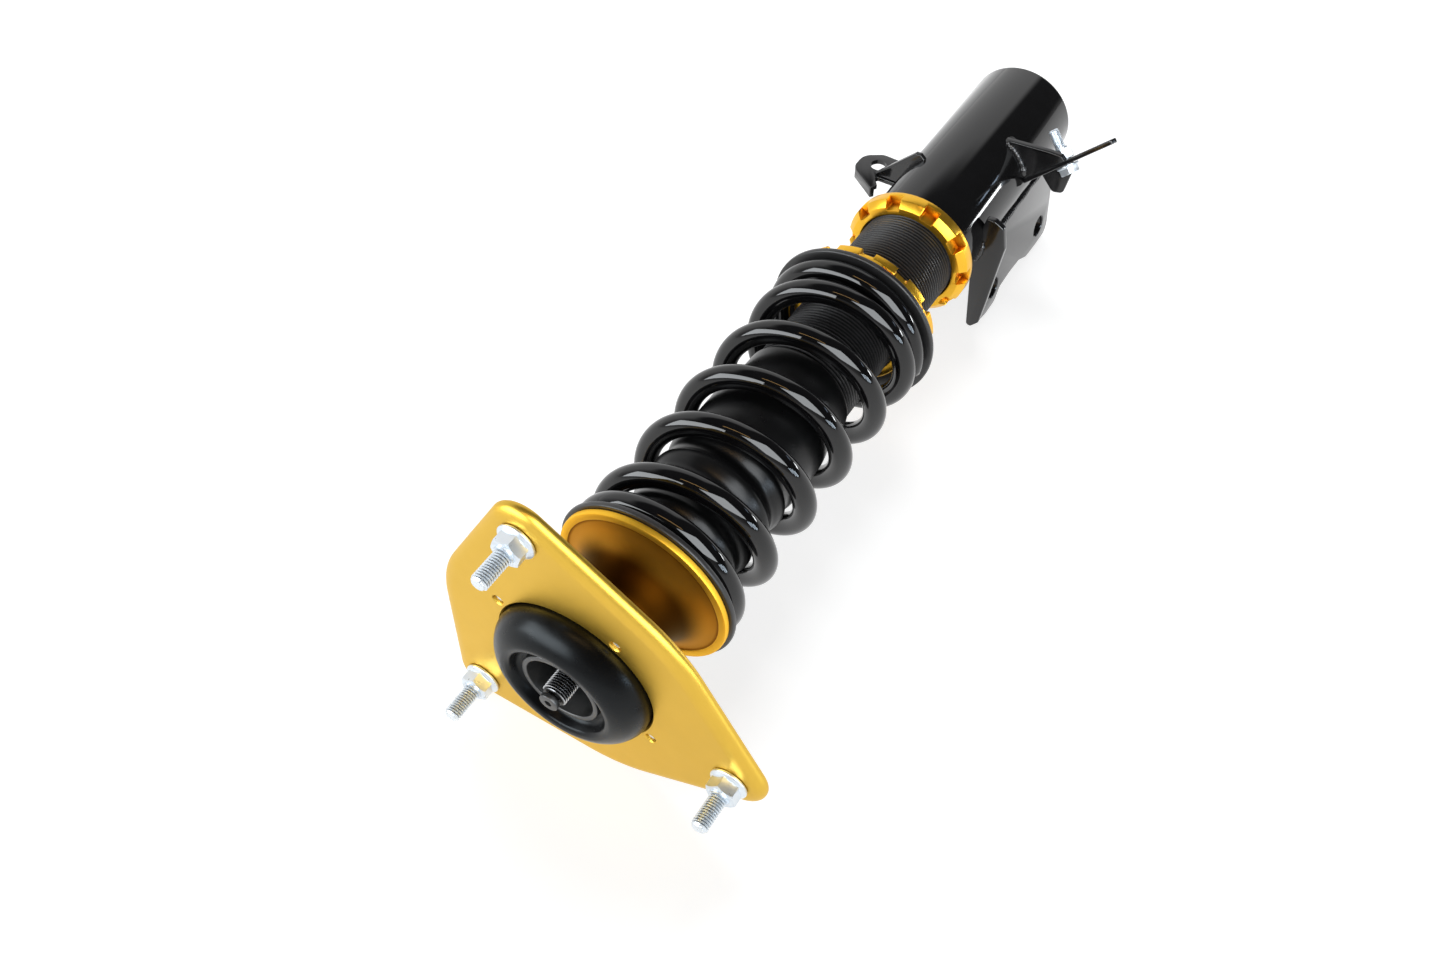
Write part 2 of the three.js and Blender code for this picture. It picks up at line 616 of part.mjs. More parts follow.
// ---------- mount plate, studs and nuts ----------
const PLATE_R = 70; // round middle of the plate
const LOBE_R = 15.5; // corner radius round each stud
const STUD_PCR = 79; // pitch circle radius
const STUD_AZ = [104, -16, -136];
const STUD_R = 4;
const STUD_HOLE_R = STUD_R + GAP;
const STUD_BOTTOM = 437.6;
const STUD_HEAD_R = 7;
const STUD_TOP = PLATE_TOP + 24.5;
const NUT_BOTTOM = PLATE_TOP + GAP;
const NUT_TOP = 456.1;

// A round middle with three lobes, joined by straight tangents.
function plateOutline() {
  const tangent = THREE.MathUtils.radToDeg(Math.acos((PLATE_R - LOBE_R) / STUD_PCR));
  const pitch = 360 / STUD_AZ.length;
  return [...STUD_AZ].reverse().flatMap((azimuth) => [
    ...arc(polar(STUD_PCR, azimuth), LOBE_R, azimuth - tangent, azimuth + tangent, 6),
    ...arc([0, 0], PLATE_R, azimuth + tangent, azimuth + pitch - tangent, 4),
  ]);
}

function mountPlate() {
  const blank = slab(plateOutline(), PLATE_BOTTOM, PLATE_TOP, 2.2);
  let plate = withPinHoles(bored(blank, PLATE_HOLE_R, PLATE_BOTTOM, PLATE_TOP, BIG));
  const cutter = disc(STUD_HOLE_R, PLATE_BOTTOM - OVERCUT, PLATE_TOP + OVERCUT, SMALL);
  for (const azimuth of STUD_AZ) plate = plate.subtract(shifted(cutter, STUD_PCR, azimuth));
  return plate;
}

const mountStud = () => turned([
  [0, STUD_BOTTOM], [STUD_HEAD_R, STUD_BOTTOM], [STUD_HEAD_R, UNDER_PLATE],
  [STUD_R, UNDER_PLATE], [STUD_R, STUD_TOP - 1], [STUD_R - 1, STUD_TOP], [0, STUD_TOP],
], SMALL);

function flangeNut(turn) {
  const flange = turned([
    [0, NUT_BOTTOM], [8.7, NUT_BOTTOM], [8.7, NUT_BOTTOM + 1], [6.9, NUT_BOTTOM + 2],
    [0, NUT_BOTTOM + 2],
  ], 18);
  const body = slab(hexagon(13), NUT_BOTTOM, NUT_TOP).rotate([0, 0, turn]).add(flange);
  return bored(body, STUD_HOLE_R, NUT_BOTTOM, NUT_TOP);
}

STUD_AZ.forEach((azimuth, i) => {
  add(`mount_stud_${i + 1}`, shifted(mountStud(), STUD_PCR, azimuth), FINISH.zinc);
  const nut = flangeNut(20 + 40 * i); // each nut stops at its own angle
  add(`stud_flange_nut_${i + 1}`, shifted(nut, STUD_PCR, azimuth), FINISH.zinc);
});
add("mount_plate", mountPlate(), FINISH.gold);

export default coilover;
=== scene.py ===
"""Coilover strut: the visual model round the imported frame. Lengths below are in millimetres and become metres when a mesh is made."""

import json
import math

import bmesh
import bpy
import numpy as np
from mathutils import Matrix, Vector

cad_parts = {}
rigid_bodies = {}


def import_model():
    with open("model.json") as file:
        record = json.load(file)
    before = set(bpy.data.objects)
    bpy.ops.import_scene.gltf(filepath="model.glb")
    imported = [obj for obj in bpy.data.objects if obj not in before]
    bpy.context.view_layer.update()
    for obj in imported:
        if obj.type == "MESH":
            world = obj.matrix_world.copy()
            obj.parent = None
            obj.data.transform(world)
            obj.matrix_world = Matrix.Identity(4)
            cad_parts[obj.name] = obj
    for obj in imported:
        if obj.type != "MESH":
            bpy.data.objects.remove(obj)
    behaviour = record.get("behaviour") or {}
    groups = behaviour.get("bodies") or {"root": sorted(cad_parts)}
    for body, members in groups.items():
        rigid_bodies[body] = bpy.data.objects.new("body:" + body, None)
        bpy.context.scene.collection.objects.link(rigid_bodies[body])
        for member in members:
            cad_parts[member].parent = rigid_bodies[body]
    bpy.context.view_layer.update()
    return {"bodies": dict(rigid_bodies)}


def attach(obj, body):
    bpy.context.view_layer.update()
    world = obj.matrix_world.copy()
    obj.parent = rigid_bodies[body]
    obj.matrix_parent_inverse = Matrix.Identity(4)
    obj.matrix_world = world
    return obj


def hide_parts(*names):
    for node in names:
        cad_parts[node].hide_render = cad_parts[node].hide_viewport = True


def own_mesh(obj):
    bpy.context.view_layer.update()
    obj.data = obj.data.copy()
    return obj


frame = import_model()
MM = 0.001
TAU = 2 * math.pi


# ---------------------------------------------------------------- mesh tools
def fillet(pts, closed=True, r=0.4, n=3):
    """Rounds the corners of a profile. A point may carry its own radius as a third number."""
    out = []
    count = len(pts)
    for i, p in enumerate(pts):
        rad = p[2] if len(p) > 2 else r
        x, y = p[0], p[1]
        if (not closed and i in (0, count - 1)) or rad <= 0:
            out.append((x, y))
            continue
        a = np.array(pts[i - 1][:2], float) - (x, y)
        b = np.array(pts[(i + 1) % count][:2], float) - (x, y)
        la, lb = np.linalg.norm(a), np.linalg.norm(b)
        if la < 1e-6 or lb < 1e-6:
            out.append((x, y))
            continue
        a, b = a / la, b / lb
        half = math.acos(max(-1, min(1, float(a @ b)))) / 2
        if half > math.radians(84):
            out.append((x, y))
            continue
        cut = min(rad / math.tan(half), la * 0.46, lb * 0.46)
        s, e = np.array((x, y)) + a * cut, np.array((x, y)) + b * cut
        real = cut * math.tan(half)
        c = np.array((x, y)) + (a + b) / np.linalg.norm(a + b) * real / math.sin(half)
        a0, a1 = math.atan2(*(s - c)[::-1]), math.atan2(*(e - c)[::-1])
        d = (a1 - a0 + math.pi) % TAU - math.pi
        for k in range(n + 1):
            t = a0 + d * k / n
            out.append((c[0] + real * math.cos(t), c[1] + real * math.sin(t)))
    return out


def smooth_curve(pts, n=6):
    """Catmull-Rom curve through points."""
    p = np.array(pts, float)
    p = np.vstack([2 * p[0] - p[1], p, 2 * p[-1] - p[-2]])
    out = []
    for i in range(1, len(p) - 2):
        for k in range(n):
            t = k / n
            out.append(tuple(0.5 * (2 * p[i] + (p[i + 1] - p[i - 1]) * t + (2 * p[i - 1] - 5 * p[i] + 4 * p[i + 1] - p[i + 2]) * t * t
                                    + (3 * p[i] - p[i - 1] - 3 * p[i + 1] + p[i + 2]) * t ** 3)))
    out.append(tuple(p[-2]))
    return out


def build(name, verts, faces, merge=2e-4):
    """An object from vertices in mm: doubles merged, faces out."""
    me = bpy.data.meshes.new(name)
    me.from_pydata((np.array(verts, float) * MM).tolist(), [], faces)
    bm = bmesh.new()
    bm.from_mesh(me)
    bmesh.ops.remove_doubles(bm, verts=bm.verts, dist=merge * MM)
    bmesh.ops.recalc_face_normals(bm, faces=bm.faces)
    if bm.calc_volume(signed=True) < 0:
        bmesh.ops.reverse_faces(bm, faces=bm.faces)
    bm.to_mesh(me)
    bm.free()
    ob = bpy.data.objects.new(name, me)
    bpy.context.scene.collection.objects.link(ob)
    return ob


def shade(ob, angle=32):
    me = ob.data
    me.polygons.foreach_set("use_smooth", np.ones(len(me.polygons), bool))
    me.set_sharp_from_angle(angle=math.radians(angle))
    me.update()
    return ob


def lathe_raw(name, pts, seg=128, closed=True):
    k = len(pts)
    a = np.arange(seg) * TAU / seg
    p = np.array(pts, float)
    verts = np.stack([np.outer(np.cos(a), p[:, 0]), np.outer(np.sin(a), p[:, 0]), np.tile(p[:, 1], (seg, 1))], -1).reshape(-1, 3)
    faces = []
    last = k if closed else k - 1
    for i in range(seg):
        j = (i + 1) % seg
        for m in range(last):
            n = (m + 1) % k
            faces.append((i * k + m, j * k + m, j * k + n, i * k + n))
    return build(name, verts, faces)


def lathe(name, prof, seg=128, r=0.4, n=3, closed=None):
    if closed is None:
        closed = not (prof[0][0] == 0 and prof[-1][0] == 0)
    return lathe_raw(name, fillet(prof, closed, r, n), seg, closed)


def thread(name, r_major, depth, pitch, z0, z1, seg=96, r_in=0.0, top_chamfer=1.0, low_chamfer=0.0):
    """A rod with a real helical thread, closed at both ends."""
    off = (0.0, 0.14, 0.48, 0.66)
    rad = (r_major - depth, r_major - depth, r_major, r_major)
    start = z0 - 2 * pitch
    rows = 4 * (int((z1 - start) / pitch) + 3)
    cols = []
    for i in range(seg):
        a = TAU * i / seg
        col = [(r_in * math.cos(a), r_in * math.sin(a), z0)]
        for k in range(rows):
            z = start + (k // 4 + off[k % 4]) * pitch + pitch * i / seg
            r = rad[k % 4]
            if z <= z0 or z >= z1:
                r = r_major - depth
            z = min(max(z, z0), z1)
            if top_chamfer:
                r = min(r, r_major - top_chamfer + (z1 - z))
            if low_chamfer:
                r = min(r, r_major - low_chamfer + (z - z0))
            col.append((r * math.cos(a), r * math.sin(a), z))
        col.append((r_in * math.cos(a), r_in * math.sin(a), z1))
        cols.append(col)
    k = rows + 2
    verts = [v for c in cols for v in c]
    faces = []
    for i in range(seg):
        j = (i + 1) % seg
        wrap = j == 0

        def idx(m):
            if not wrap or m == 0 or m == k - 1:
                return j * k + m
            return j * k + min(m + 4, k - 2)

        for m in range(k - 1):
            faces.append((i * k + m, idx(m), idx(m + 1), i * k + m + 1))
        if r_in > 0:
            faces.append((i * k + k - 1, idx(k - 1), idx(0), i * k))
    ob = build(name, verts, faces, merge=5e-4)
    # How deep each point lies in the thread, 0 on the crest and 1 in the root; the materials use it to paint shade into
    # the thread roots.
    deep = ob.data.attributes.new("groove_shade", "FLOAT", "POINT")
    for v in ob.data.vertices:
        r, z = math.hypot(v.co.x, v.co.y) / MM, v.co.z / MM
        inside = r > r_major - depth - 0.02 and z < z1 - top_chamfer - 0.05 and z > z0 + low_chamfer + 0.05
        deep.data[v.index].value = min(1.0, max(0.0, (r_major - r) / depth)) if inside else 0.0
    return ob


def prism(name, outline, z0, z1, place=None, bevel=0.6, seg=3):
    """A flat outline raised from z0 to z1, its rims rounded, then put in place."""
    n = len(outline)
    verts = [(x, y, z0) for x, y in outline] + [(x, y, z1) for x, y in outline]
    faces = [tuple(range(n))[::-1], tuple(range(n, 2 * n))]
    faces += [(i, (i + 1) % n, n + (i + 1) % n, n + i) for i in range(n)]
    ob = build(name, verts, faces)
    if bevel:
        m = ob.modifiers.new("bevel", "BEVEL")
        m.width = bevel * MM
        m.segments = seg
        m.limit_method = "ANGLE"
        m.angle_limit = math.radians(40)
        m.use_clamp_overlap = True
        apply(ob)
    if place is not None:
        ob.data.transform(place)
    return ob


def axes(origin, x, y, z):
    """A placing matrix from axes, with its origin in mm."""
    m = Matrix.Identity(4)
    for i, v in enumerate((x, y, z)):
        for k in range(3):
            m[k][i] = v[k]
    for k in range(3):
        m[k][3] = origin[k] * MM
    return m


def apply(ob):
    dg = bpy.context.evaluated_depsgraph_get()
    me = bpy.data.meshes.new_from_object(ob.evaluated_get(dg))
    ob.modifiers.clear()
    old = ob.data
    ob.data = me
    bpy.data.meshes.remove(old)
    return ob


def boolean(ob, tool, op="DIFFERENCE", keep=False):
    m = ob.modifiers.new("bool", "BOOLEAN")
    m.operation = op
    m.solver = "EXACT"
    m.object = tool
    bpy.context.view_layer.update()
    apply(ob)
    if not keep:
        bpy.data.objects.remove(tool)
    return ob


def soften(ob, width=0.3, seg=2, angle=38):
    m = ob.modifiers.new("bevel", "BEVEL")
    m.width = width * MM
    m.segments = seg
    m.limit_method = "ANGLE"
    m.angle_limit = math.radians(angle)
    m.use_clamp_overlap = True
    return apply(ob)


def rounded(corners, n=5):
    pts = [(c[0], c[1], c[2] if len(c) > 2 else 0.0) for c in corners]
    return fillet(pts, True, 0, n)


def arc(cx, cy, r, a0, a1, n):
    return [(cx + r * math.cos(math.radians(a0 + (a1 - a0) * i / n)), cy + r * math.sin(math.radians(a0 + (a1 - a0) * i / n))) for i in range(n + 1)]


def hexagon(af, turn=0):
    return arc(0, 0, af / math.sqrt(3), turn, turn + 300, 5)


def sweep(name, centres, frames, radii, sides=28):
    """A round tube along a path. frames holds the two cross directions at each point."""
    n = len(centres)
    verts = []
    for c, (u, v), r in zip(centres, frames, radii):
        for s in range(sides):
            a = TAU * s / sides
            verts.append(tuple(np.array(c) + r * (math.cos(a) * np.array(u) + math.sin(a) * np.array(v))))
    faces = []
    for i in range(n - 1):
        for s in range(sides):
            t = (s + 1) % sides
            faces.append((i * sides + s, (i + 1) * sides + s, (i + 1) * sides + t, i * sides + t))
    faces.append(tuple(range(sides)))
    faces.append(tuple(range((n - 1) * sides, n * sides))[::-1])
    return build(name, verts, faces)


def copy_of(ob, name, matrix):
    new = bpy.data.objects.new(name, ob.data.copy())
    new.data.transform(matrix)
    bpy.context.scene.collection.objects.link(new)
    return new


# ---------------------------------------------------------------- materials
def material(name, color, rough, metal=0.0, color2=None, mix=0.5, noise=120.0, rough_var=0.08, bump=0.15, bump_scale=900.0,
             bump_dist=0.00004, coat=0.0, coat_rough=0.08, wear=None, rings=0.0, spec=0.5, ring_scale=1.0, sheen=0.0, aniso=0.0, groove_shade=None, radial=None, shade_in=None, tint=(1, 1, 1)):
    """A node material: colour and roughness vary with noise, fine grain or turning marks in the bump, worn edges from
    pointiness.
    The groove weight paints shade into thread roots, radial paints rings of colour by the distance from the axis as
    painted highlights and reflections, and shade_in paints shade into closed-in corners from ambient occlusion."""
    m = bpy.data.materials.new(name)
    m.use_nodes = True
    nt = m.node_tree
    nt.nodes.clear()
    N = nt.nodes.new
    L = nt.links.new
    out = N("ShaderNodeOutputMaterial")
    b = N("ShaderNodeBsdfPrincipled")
    L(b.outputs[0], out.inputs[0])
    tc = N("ShaderNodeTexCoord")
    nz = N("ShaderNodeTexNoise")
    nz.inputs["Scale"].default_value = noise
    nz.inputs["Detail"].default_value = 6
    L(tc.outputs["Object"], nz.inputs["Vector"])
    ramp = N("ShaderNodeMapRange")
    ramp.inputs[1].default_value = 0.3
    ramp.inputs[2].default_value = 0.7
    L(nz.outputs["Fac"], ramp.inputs[0])
    c2 = color2 or tuple(c * 0.82 for c in color)
    mixc = N("ShaderNodeMix")
    mixc.data_type = "RGBA"
    mixc.inputs[6].default_value = (*color, 1)
    mixc.inputs[7].default_value = (*c2, 1)
    sc = N("ShaderNodeMath")
    sc.operation = "MULTIPLY"
    sc.inputs[1].default_value = mix
    L(ramp.outputs[0], sc.inputs[0])
    L(sc.outputs[0], mixc.inputs[0])
    colour = mixc.outputs[2]

    def blend_to(base, factor, target, amount=1.0):
        k = N("ShaderNodeMath")
        k.operation = "MULTIPLY"
        k.inputs[1].default_value = amount
        L(factor, k.inputs[0])
        x = N("ShaderNodeMix")
        x.data_type = "RGBA"
        L(k.outputs[0], x.inputs[0])
        L(base, x.inputs[6])
        x.inputs[7].default_value = (*target, 1)
        return x.outputs[2]

    def ranged(value, lo, hi):
        x = N("ShaderNodeMapRange")
        x.interpolation_type = "SMOOTHSTEP"
        x.inputs[1].default_value = lo
        x.inputs[2].default_value = hi
        L(value, x.inputs[0])
        return x.outputs[0]

    # Painted light: rings of colour by the distance from the axis, for lighter thread crests and the seat's painted
    # reflections.
    if radial:
        sx = N("ShaderNodeSeparateXYZ")
        L(tc.outputs["Object"], sx.inputs[0])
        fl_ = N("ShaderNodeCombineXYZ")
        L(sx.outputs[0], fl_.inputs[0])
        L(sx.outputs[1], fl_.inputs[1])
        rl = N("ShaderNodeVectorMath")
        rl.operation = "LENGTH"
        L(fl_.outputs[0], rl.inputs[0])
        for r0, r1, tone in radial:
            colour = blend_to(colour, ranged(rl.outputs["Value"], r0 * MM, r1 * MM), tone)
    # Painted shade: ambient occlusion darkens the colour in closed-in corners.
    if shade_in:
        ao = N("ShaderNodeAmbientOcclusion")
        ao.samples = 8
        ao.only_local = True
        ao.inputs["Distance"].default_value = shade_in[1] * MM
        colour = blend_to(colour, ranged(ao.outputs["AO"], 0.95, 0.45), shade_in[0])
    # Painted shade: the thread roots are darkened by the groove weight.
    if groove_shade:
        gg = N("ShaderNodeAttribute")
        gg.attribute_name = "groove_shade"
        colour = blend_to(colour, ranged(gg.outputs["Fac"], 0.45, 1.0), groove_shade[0], groove_shade[1])
    if wear:
        geo = N("ShaderNodeNewGeometry")
        pr = N("ShaderNodeMapRange")
        pr.inputs[1].default_value = 0.53
        pr.inputs[2].default_value = 0.62
        L(geo.outputs["Pointiness"], pr.inputs[0])
        wn = N("ShaderNodeMath")
        wn.operation = "MULTIPLY"
        wn.inputs[1].default_value = wear[1]
        L(pr.outputs[0], wn.inputs[0])
        mw = N("ShaderNodeMix")
        mw.data_type = "RGBA"
        L(wn.outputs[0], mw.inputs[0])
        L(colour, mw.inputs[6])
        mw.inputs[7].default_value = (*wear[0], 1)
        colour = mw.outputs[2]
    L(colour, b.inputs["Base Color"])
    rr = N("ShaderNodeMapRange")
    rr.inputs[3].default_value = max(0.02, rough - rough_var)
    rr.inputs[4].default_value = rough + rough_var
    n2 = N("ShaderNodeTexNoise")
    n2.inputs["Scale"].default_value = noise * 2.3
    n2.inputs["Detail"].default_value = 4
    L(tc.outputs["Object"], n2.inputs["Vector"])
    L(n2.outputs["Fac"], rr.inputs[0])
    L(rr.outputs[0], b.inputs["Roughness"])
    b.inputs["Metallic"].default_value = metal
    b.inputs["Specular IOR Level"].default_value = spec
    b.inputs["Specular Tint"].default_value = (*tint, 1)
    b.inputs["Coat Weight"].default_value = coat
    b.inputs["Coat Roughness"].default_value = coat_rough
    b.inputs["Sheen Weight"].default_value = sheen
    b.inputs["Anisotropic"].default_value = aniso
    n3 = N("ShaderNodeTexNoise")
    n3.inputs["Scale"].default_value = bump_scale
    n3.inputs["Detail"].default_value = 3
    L(tc.outputs["Object"], n3.inputs["Vector"])
    height = n3.outputs["Fac"]
    if rings:
        sep = N("ShaderNodeSeparateXYZ")
        L(tc.outputs["Object"], sep.inputs[0])
        comb = N("ShaderNodeCombineXYZ")
        ln = N("ShaderNodeVectorMath")
        ln.operation = "LENGTH"
        flat = N("ShaderNodeCombineXYZ")
        L(sep.outputs[0], flat.inputs[0])
        L(sep.outputs[1], flat.inputs[1])
        L(flat.outputs[0], ln.inputs[0])
        L(ln.outputs["Value"], comb.inputs[0])
        L(sep.outputs[2], comb.inputs[2])
        n4 = N("ShaderNodeTexNoise")
        n4.inputs["Scale"].default_value = 2600.0 * ring_scale
        n4.inputs["Detail"].default_value = 2
        L(comb.outputs[0], n4.inputs["Vector"])
        add = N("ShaderNodeMath")
        add.operation = "MULTIPLY_ADD"
        add.inputs[1].default_value = rings
        L(n4.outputs["Fac"], add.inputs[0])
        L(height, add.inputs[2])
        height = add.outputs[0]
    bp = N("ShaderNodeBump")
    bp.inputs["Strength"].default_value = bump
    bp.inputs["Distance"].default_value = bump_dist
    L(height, bp.inputs["Height"])
    L(bp.outputs[0], b.inputs["Normal"])
    return m


MAT = {
    "black_gloss": material("black_gloss_coat", (0.006, 0.006, 0.0065), 0.065, color2=(0.009, 0.009, 0.01), rough_var=0.02, bump=0.06, bump_scale=500, bump_dist=0.00003, spec=0.5),
    "black_bracket": material("black_bracket_coat", (0.008, 0.008, 0.009), 0.13, color2=(0.014, 0.014, 0.015), rough_var=0.04, bump=0.12, bump_scale=600, bump_dist=0.00004, spec=0.6, wear=((0.05, 0.05, 0.052), 0.35)),
    "spring_black": material("spring_coat", (0.004, 0.004, 0.0045), 0.045, color2=(0.007, 0.007, 0.008), rough_var=0.015, bump=0.05, bump_scale=420, bump_dist=0.00003, spec=0.5),
    # Lighter from r 25.7 mm outwards: a painted highlight on the crests of the damper body's thread; parts reaching
    # beyond r 26.4 mm take the lighter colour there.
    "black_thread": material("black_thread_coat", (0.003, 0.003, 0.0032), 0.34, color2=(0.004, 0.004, 0.0042), rough_var=0.03, bump=0.03, spec=0.32, radial=((25.7, 26.4, (0.040, 0.040, 0.042)),)),
    "zinc": material("zinc_plate", (0.80, 0.86, 0.92), 0.30, 0.62, color2=(0.70, 0.77, 0.84), rough_var=0.08, bump=0.2, bump_scale=1500, bump_dist=0.00002),
    # Painted shade: ambient occlusion darkens the colour towards dark orange in the notches and corners.
    "gold_ring": material("gold_anodised_bright", (0.92, 0.52, 0.04), 0.30, 0.92, color2=(0.87, 0.46, 0.03), mix=0.4, rough_var=0.05, bump=0.25, rings=1.0, bump_dist=0.00002, shade_in=((0.42, 0.13, 0.0), 5.0)),
    # The seat's colour is painted light: near black in the middle as a painted dark reflection of the plate's shaded
    # underside, brighter brown-gold from r 26 to 35.5 mm as a painted reflection, darker between r 37.9 and 39.2 mm,
    # and a thin bright ring at r 39.5 mm as a painted highlight on the rim.
    "gold_seat": material("gold_anodised_seat", (0.035, 0.011, 0.0006), 0.47, 1.0, color2=(0.030, 0.009, 0.0005), mix=0.4, rough_var=0.03, bump=0.1, rings=0.8, bump_dist=0.00002, tint=(1.0, 0.84, 0.62), radial=((26.0, 35.5, (0.50, 0.225, 0.022)), (37.9, 39.2, (0.34, 0.14, 0.010)), (39.45, 39.7, (0.97, 0.57, 0.05)))),
    "gold_plate": material("gold_anodised_satin", (0.70, 0.445, 0.064), 0.38, 1.0, color2=(0.66, 0.42, 0.060), tint=(1.0, 0.93, 0.76), mix=0.5, noise=60, rough_var=0.04, bump=0.35, bump_scale=2600, bump_dist=0.00003),
    "rubber": material("moulded_rubber", (0.016, 0.016, 0.017), 0.40, color2=(0.024, 0.024, 0.025), rough_var=0.08, bump=0.3, bump_scale=1200, bump_dist=0.00005, spec=0.6),
    "dome": material("satin_rubber", (0.004, 0.004, 0.0045), 0.29, color2=(0.006, 0.006, 0.0065), rough_var=0.05, bump=0.12, bump_scale=1400, bump_dist=0.00004, spec=0.20, tint=(0.86, 0.95, 1.0)),
    "boot": material("boot_rubber", (0.005, 0.005, 0.0055), 0.30, color2=(0.008, 0.008, 0.0085), rough_var=0.06, bump=0.2, bump_scale=900, bump_dist=0.00005, spec=0.26),
    "foam": material("bump_foam", (0.05, 0.042, 0.03), 0.7, color2=(0.035, 0.03, 0.022), bump=0.8, bump_scale=1800, bump_dist=0.00015),
    "steel": material("machined_steel", (0.42, 0.42, 0.43), 0.3, 1.0, rings=1.5, bump=0.3, bump_dist=0.00003),
    # Painted highlight: the rod-end thread's crests, from r 5.05 mm outwards, are coloured light grey as lit thread
    # lines.
    "dark_steel": material("dark_thread_steel", (0.012, 0.012, 0.012), 0.26, 1.0, color2=(0.010, 0.010, 0.010), bump=0.1, bump_dist=0.00003, radial=((5.05, 5.75, (0.55, 0.56, 0.58)),)),
    # Painted shade in the stud threads: the roots are darkened towards grey.
    "zinc_thread": material("zinc_thread", (0.84, 0.90, 0.95), 0.28, 0.55, color2=(0.74, 0.80, 0.86), rough_var=0.08, bump=0.2, bump_scale=1500, bump_dist=0.00002, groove_shade=((0.24, 0.26, 0.28), 0.85)),
    "sleeve": material("sleeve_steel", (0.10, 0.10, 0.10), 0.40, 1.0, color2=(0.12, 0.12, 0.118), rings=0.8, bump=0.25, bump_dist=0.00003),
    # Near black, not the nut's own finish: painted shade for the rod nut and washer sitting in the dark recess inside
    # the bush.
    "recess_shade_black": material("rod_nut_recess_shade", (0.008, 0.008, 0.009), 0.45, 0.0, color2=(0.005, 0.005, 0.0055), rough_var=0.08, bump=0.2, spec=0.2),
    "pin_steel": material("pin_steel", (0.30, 0.30, 0.31), 0.22, 1.0, color2=(0.24, 0.24, 0.25), bump=0.1),
    "cavity": material("dark_cavity", (0.012, 0.012, 0.012), 0.6, bump=0.3),
    "chrome": material("hard_chrome", (0.75, 0.76, 0.78), 0.07, 1.0, rough_var=0.02, bump=0.05),
    "bronze": material("bearing_bronze", (0.55, 0.38, 0.15), 0.35, 1.0),
    "plastic": material("band_plastic", (0.12, 0.14, 0.15), 0.4),
}


def finish_piece(ob, mat, body, *nodes, angle=32, smooth=True):
    ob.data.materials.clear()
    ob.data.materials.append(MAT[mat])
    if smooth:
        shade(ob, angle)
    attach(ob, body)
    if nodes:
        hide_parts(*nodes)
    return ob


# ---------------------------------------------------------------- driving sizes
TUBE_R, TUBE_TOP = 30.0, 139.0
BODY_R = 26.5
PLATE_TOP, PLATE_T = 448.0, 7.0
LOBE_R, PLATE_R, STUD_PCR = 15.5, 70.0, 79.0
STUD_AZ = (104, -16, -136)
PIN_AZ = (148, 58, -32, -122)

# ---------------------------------------------------------------- top mount
tangent = math.degrees(math.acos((PLATE_R - LOBE_R) / STUD_PCR))


def plate_outline(inset):
    pts = []
    for az in sorted(STUD_AZ):
        cx, cy = STUD_PCR * math.cos(math.radians(az)), STUD_PCR * math.sin(math.radians(az))
        pts += arc(cx, cy, LOBE_R - inset, az - tangent, az + tangent, 24)
        pts += arc(0, 0, PLATE_R - inset, az + tangent, az + 120 - tangent, 16)
    return pts


def plate_body():
    drop, inset = 4.4, 7.4
    rings = [(2.4 * (1 - math.sin(math.pi / 2 * k / 8)), PLATE_TOP - PLATE_T + 2.2 * (1 - math.cos(math.pi / 2 * k / 8))) for k in range(9)]
    rings += [(inset * (1 - math.cos(math.pi / 2 * k / 12)), PLATE_TOP - drop + drop * math.sin(math.pi / 2 * k / 12)) for k in range(13)]
    outlines = [plate_outline(d) for d, _ in rings]
    n = len(outlines[0])
    verts = [(x, y, z) for o, (_, z) in zip(outlines, rings) for x, y in o]
    faces = [tuple(range(n))[::-1], tuple(range((len(rings) - 1) * n, len(rings) * n))]
    for j in range(len(rings) - 1):
        for i in range(n):
            k = (i + 1) % n
            faces.append((j * n + i, j * n + k, (j + 1) * n + k, (j + 1) * n + i))
    ob = build("top_mount_plate", verts, faces)
    boolean(ob, lathe_raw("cut", [(0, 430), (39.4, 430), (39.4, 440.2), (38.6, 441.6), (38.6, 447.2), (39.6, 448.2), (39.6, 460), (0, 460)], 160, False))
    for az, pcr, r in [(a, 43.3, 2.5) for a in PIN_AZ] + [(a, STUD_PCR, 4.3) for a in STUD_AZ]:
        c = lathe_raw("cut", [(0, 430), (r + 0.6, 430), (r + 0.6, 440.7), (r, 441.4), (r, 447.5), (r + 0.7, 448.2), (r + 0.7, 460), (0, 460)], 36, False)
        c.data.transform(Matrix.Translation((pcr * MM * math.cos(math.radians(az)), pcr * MM * math.sin(math.radians(az)), 0)))
        boolean(ob, c)
    return ob


finish_piece(plate_body(), "gold_plate", "top_mount", "mount_plate", angle=40)

stud = thread("stud", 3.98, 0.78, 1.25, 448.2, 472.5, seg=48, top_chamfer=1.1)
shank = lathe("shank", [(0, 437.6), (6.9, 437.6, 0.8), (6.9, 440.7, 0.3), (3.98, 440.7), (3.98, 449.0, 0), (0, 449.0)], 48)
boolean(stud, shank, "UNION")


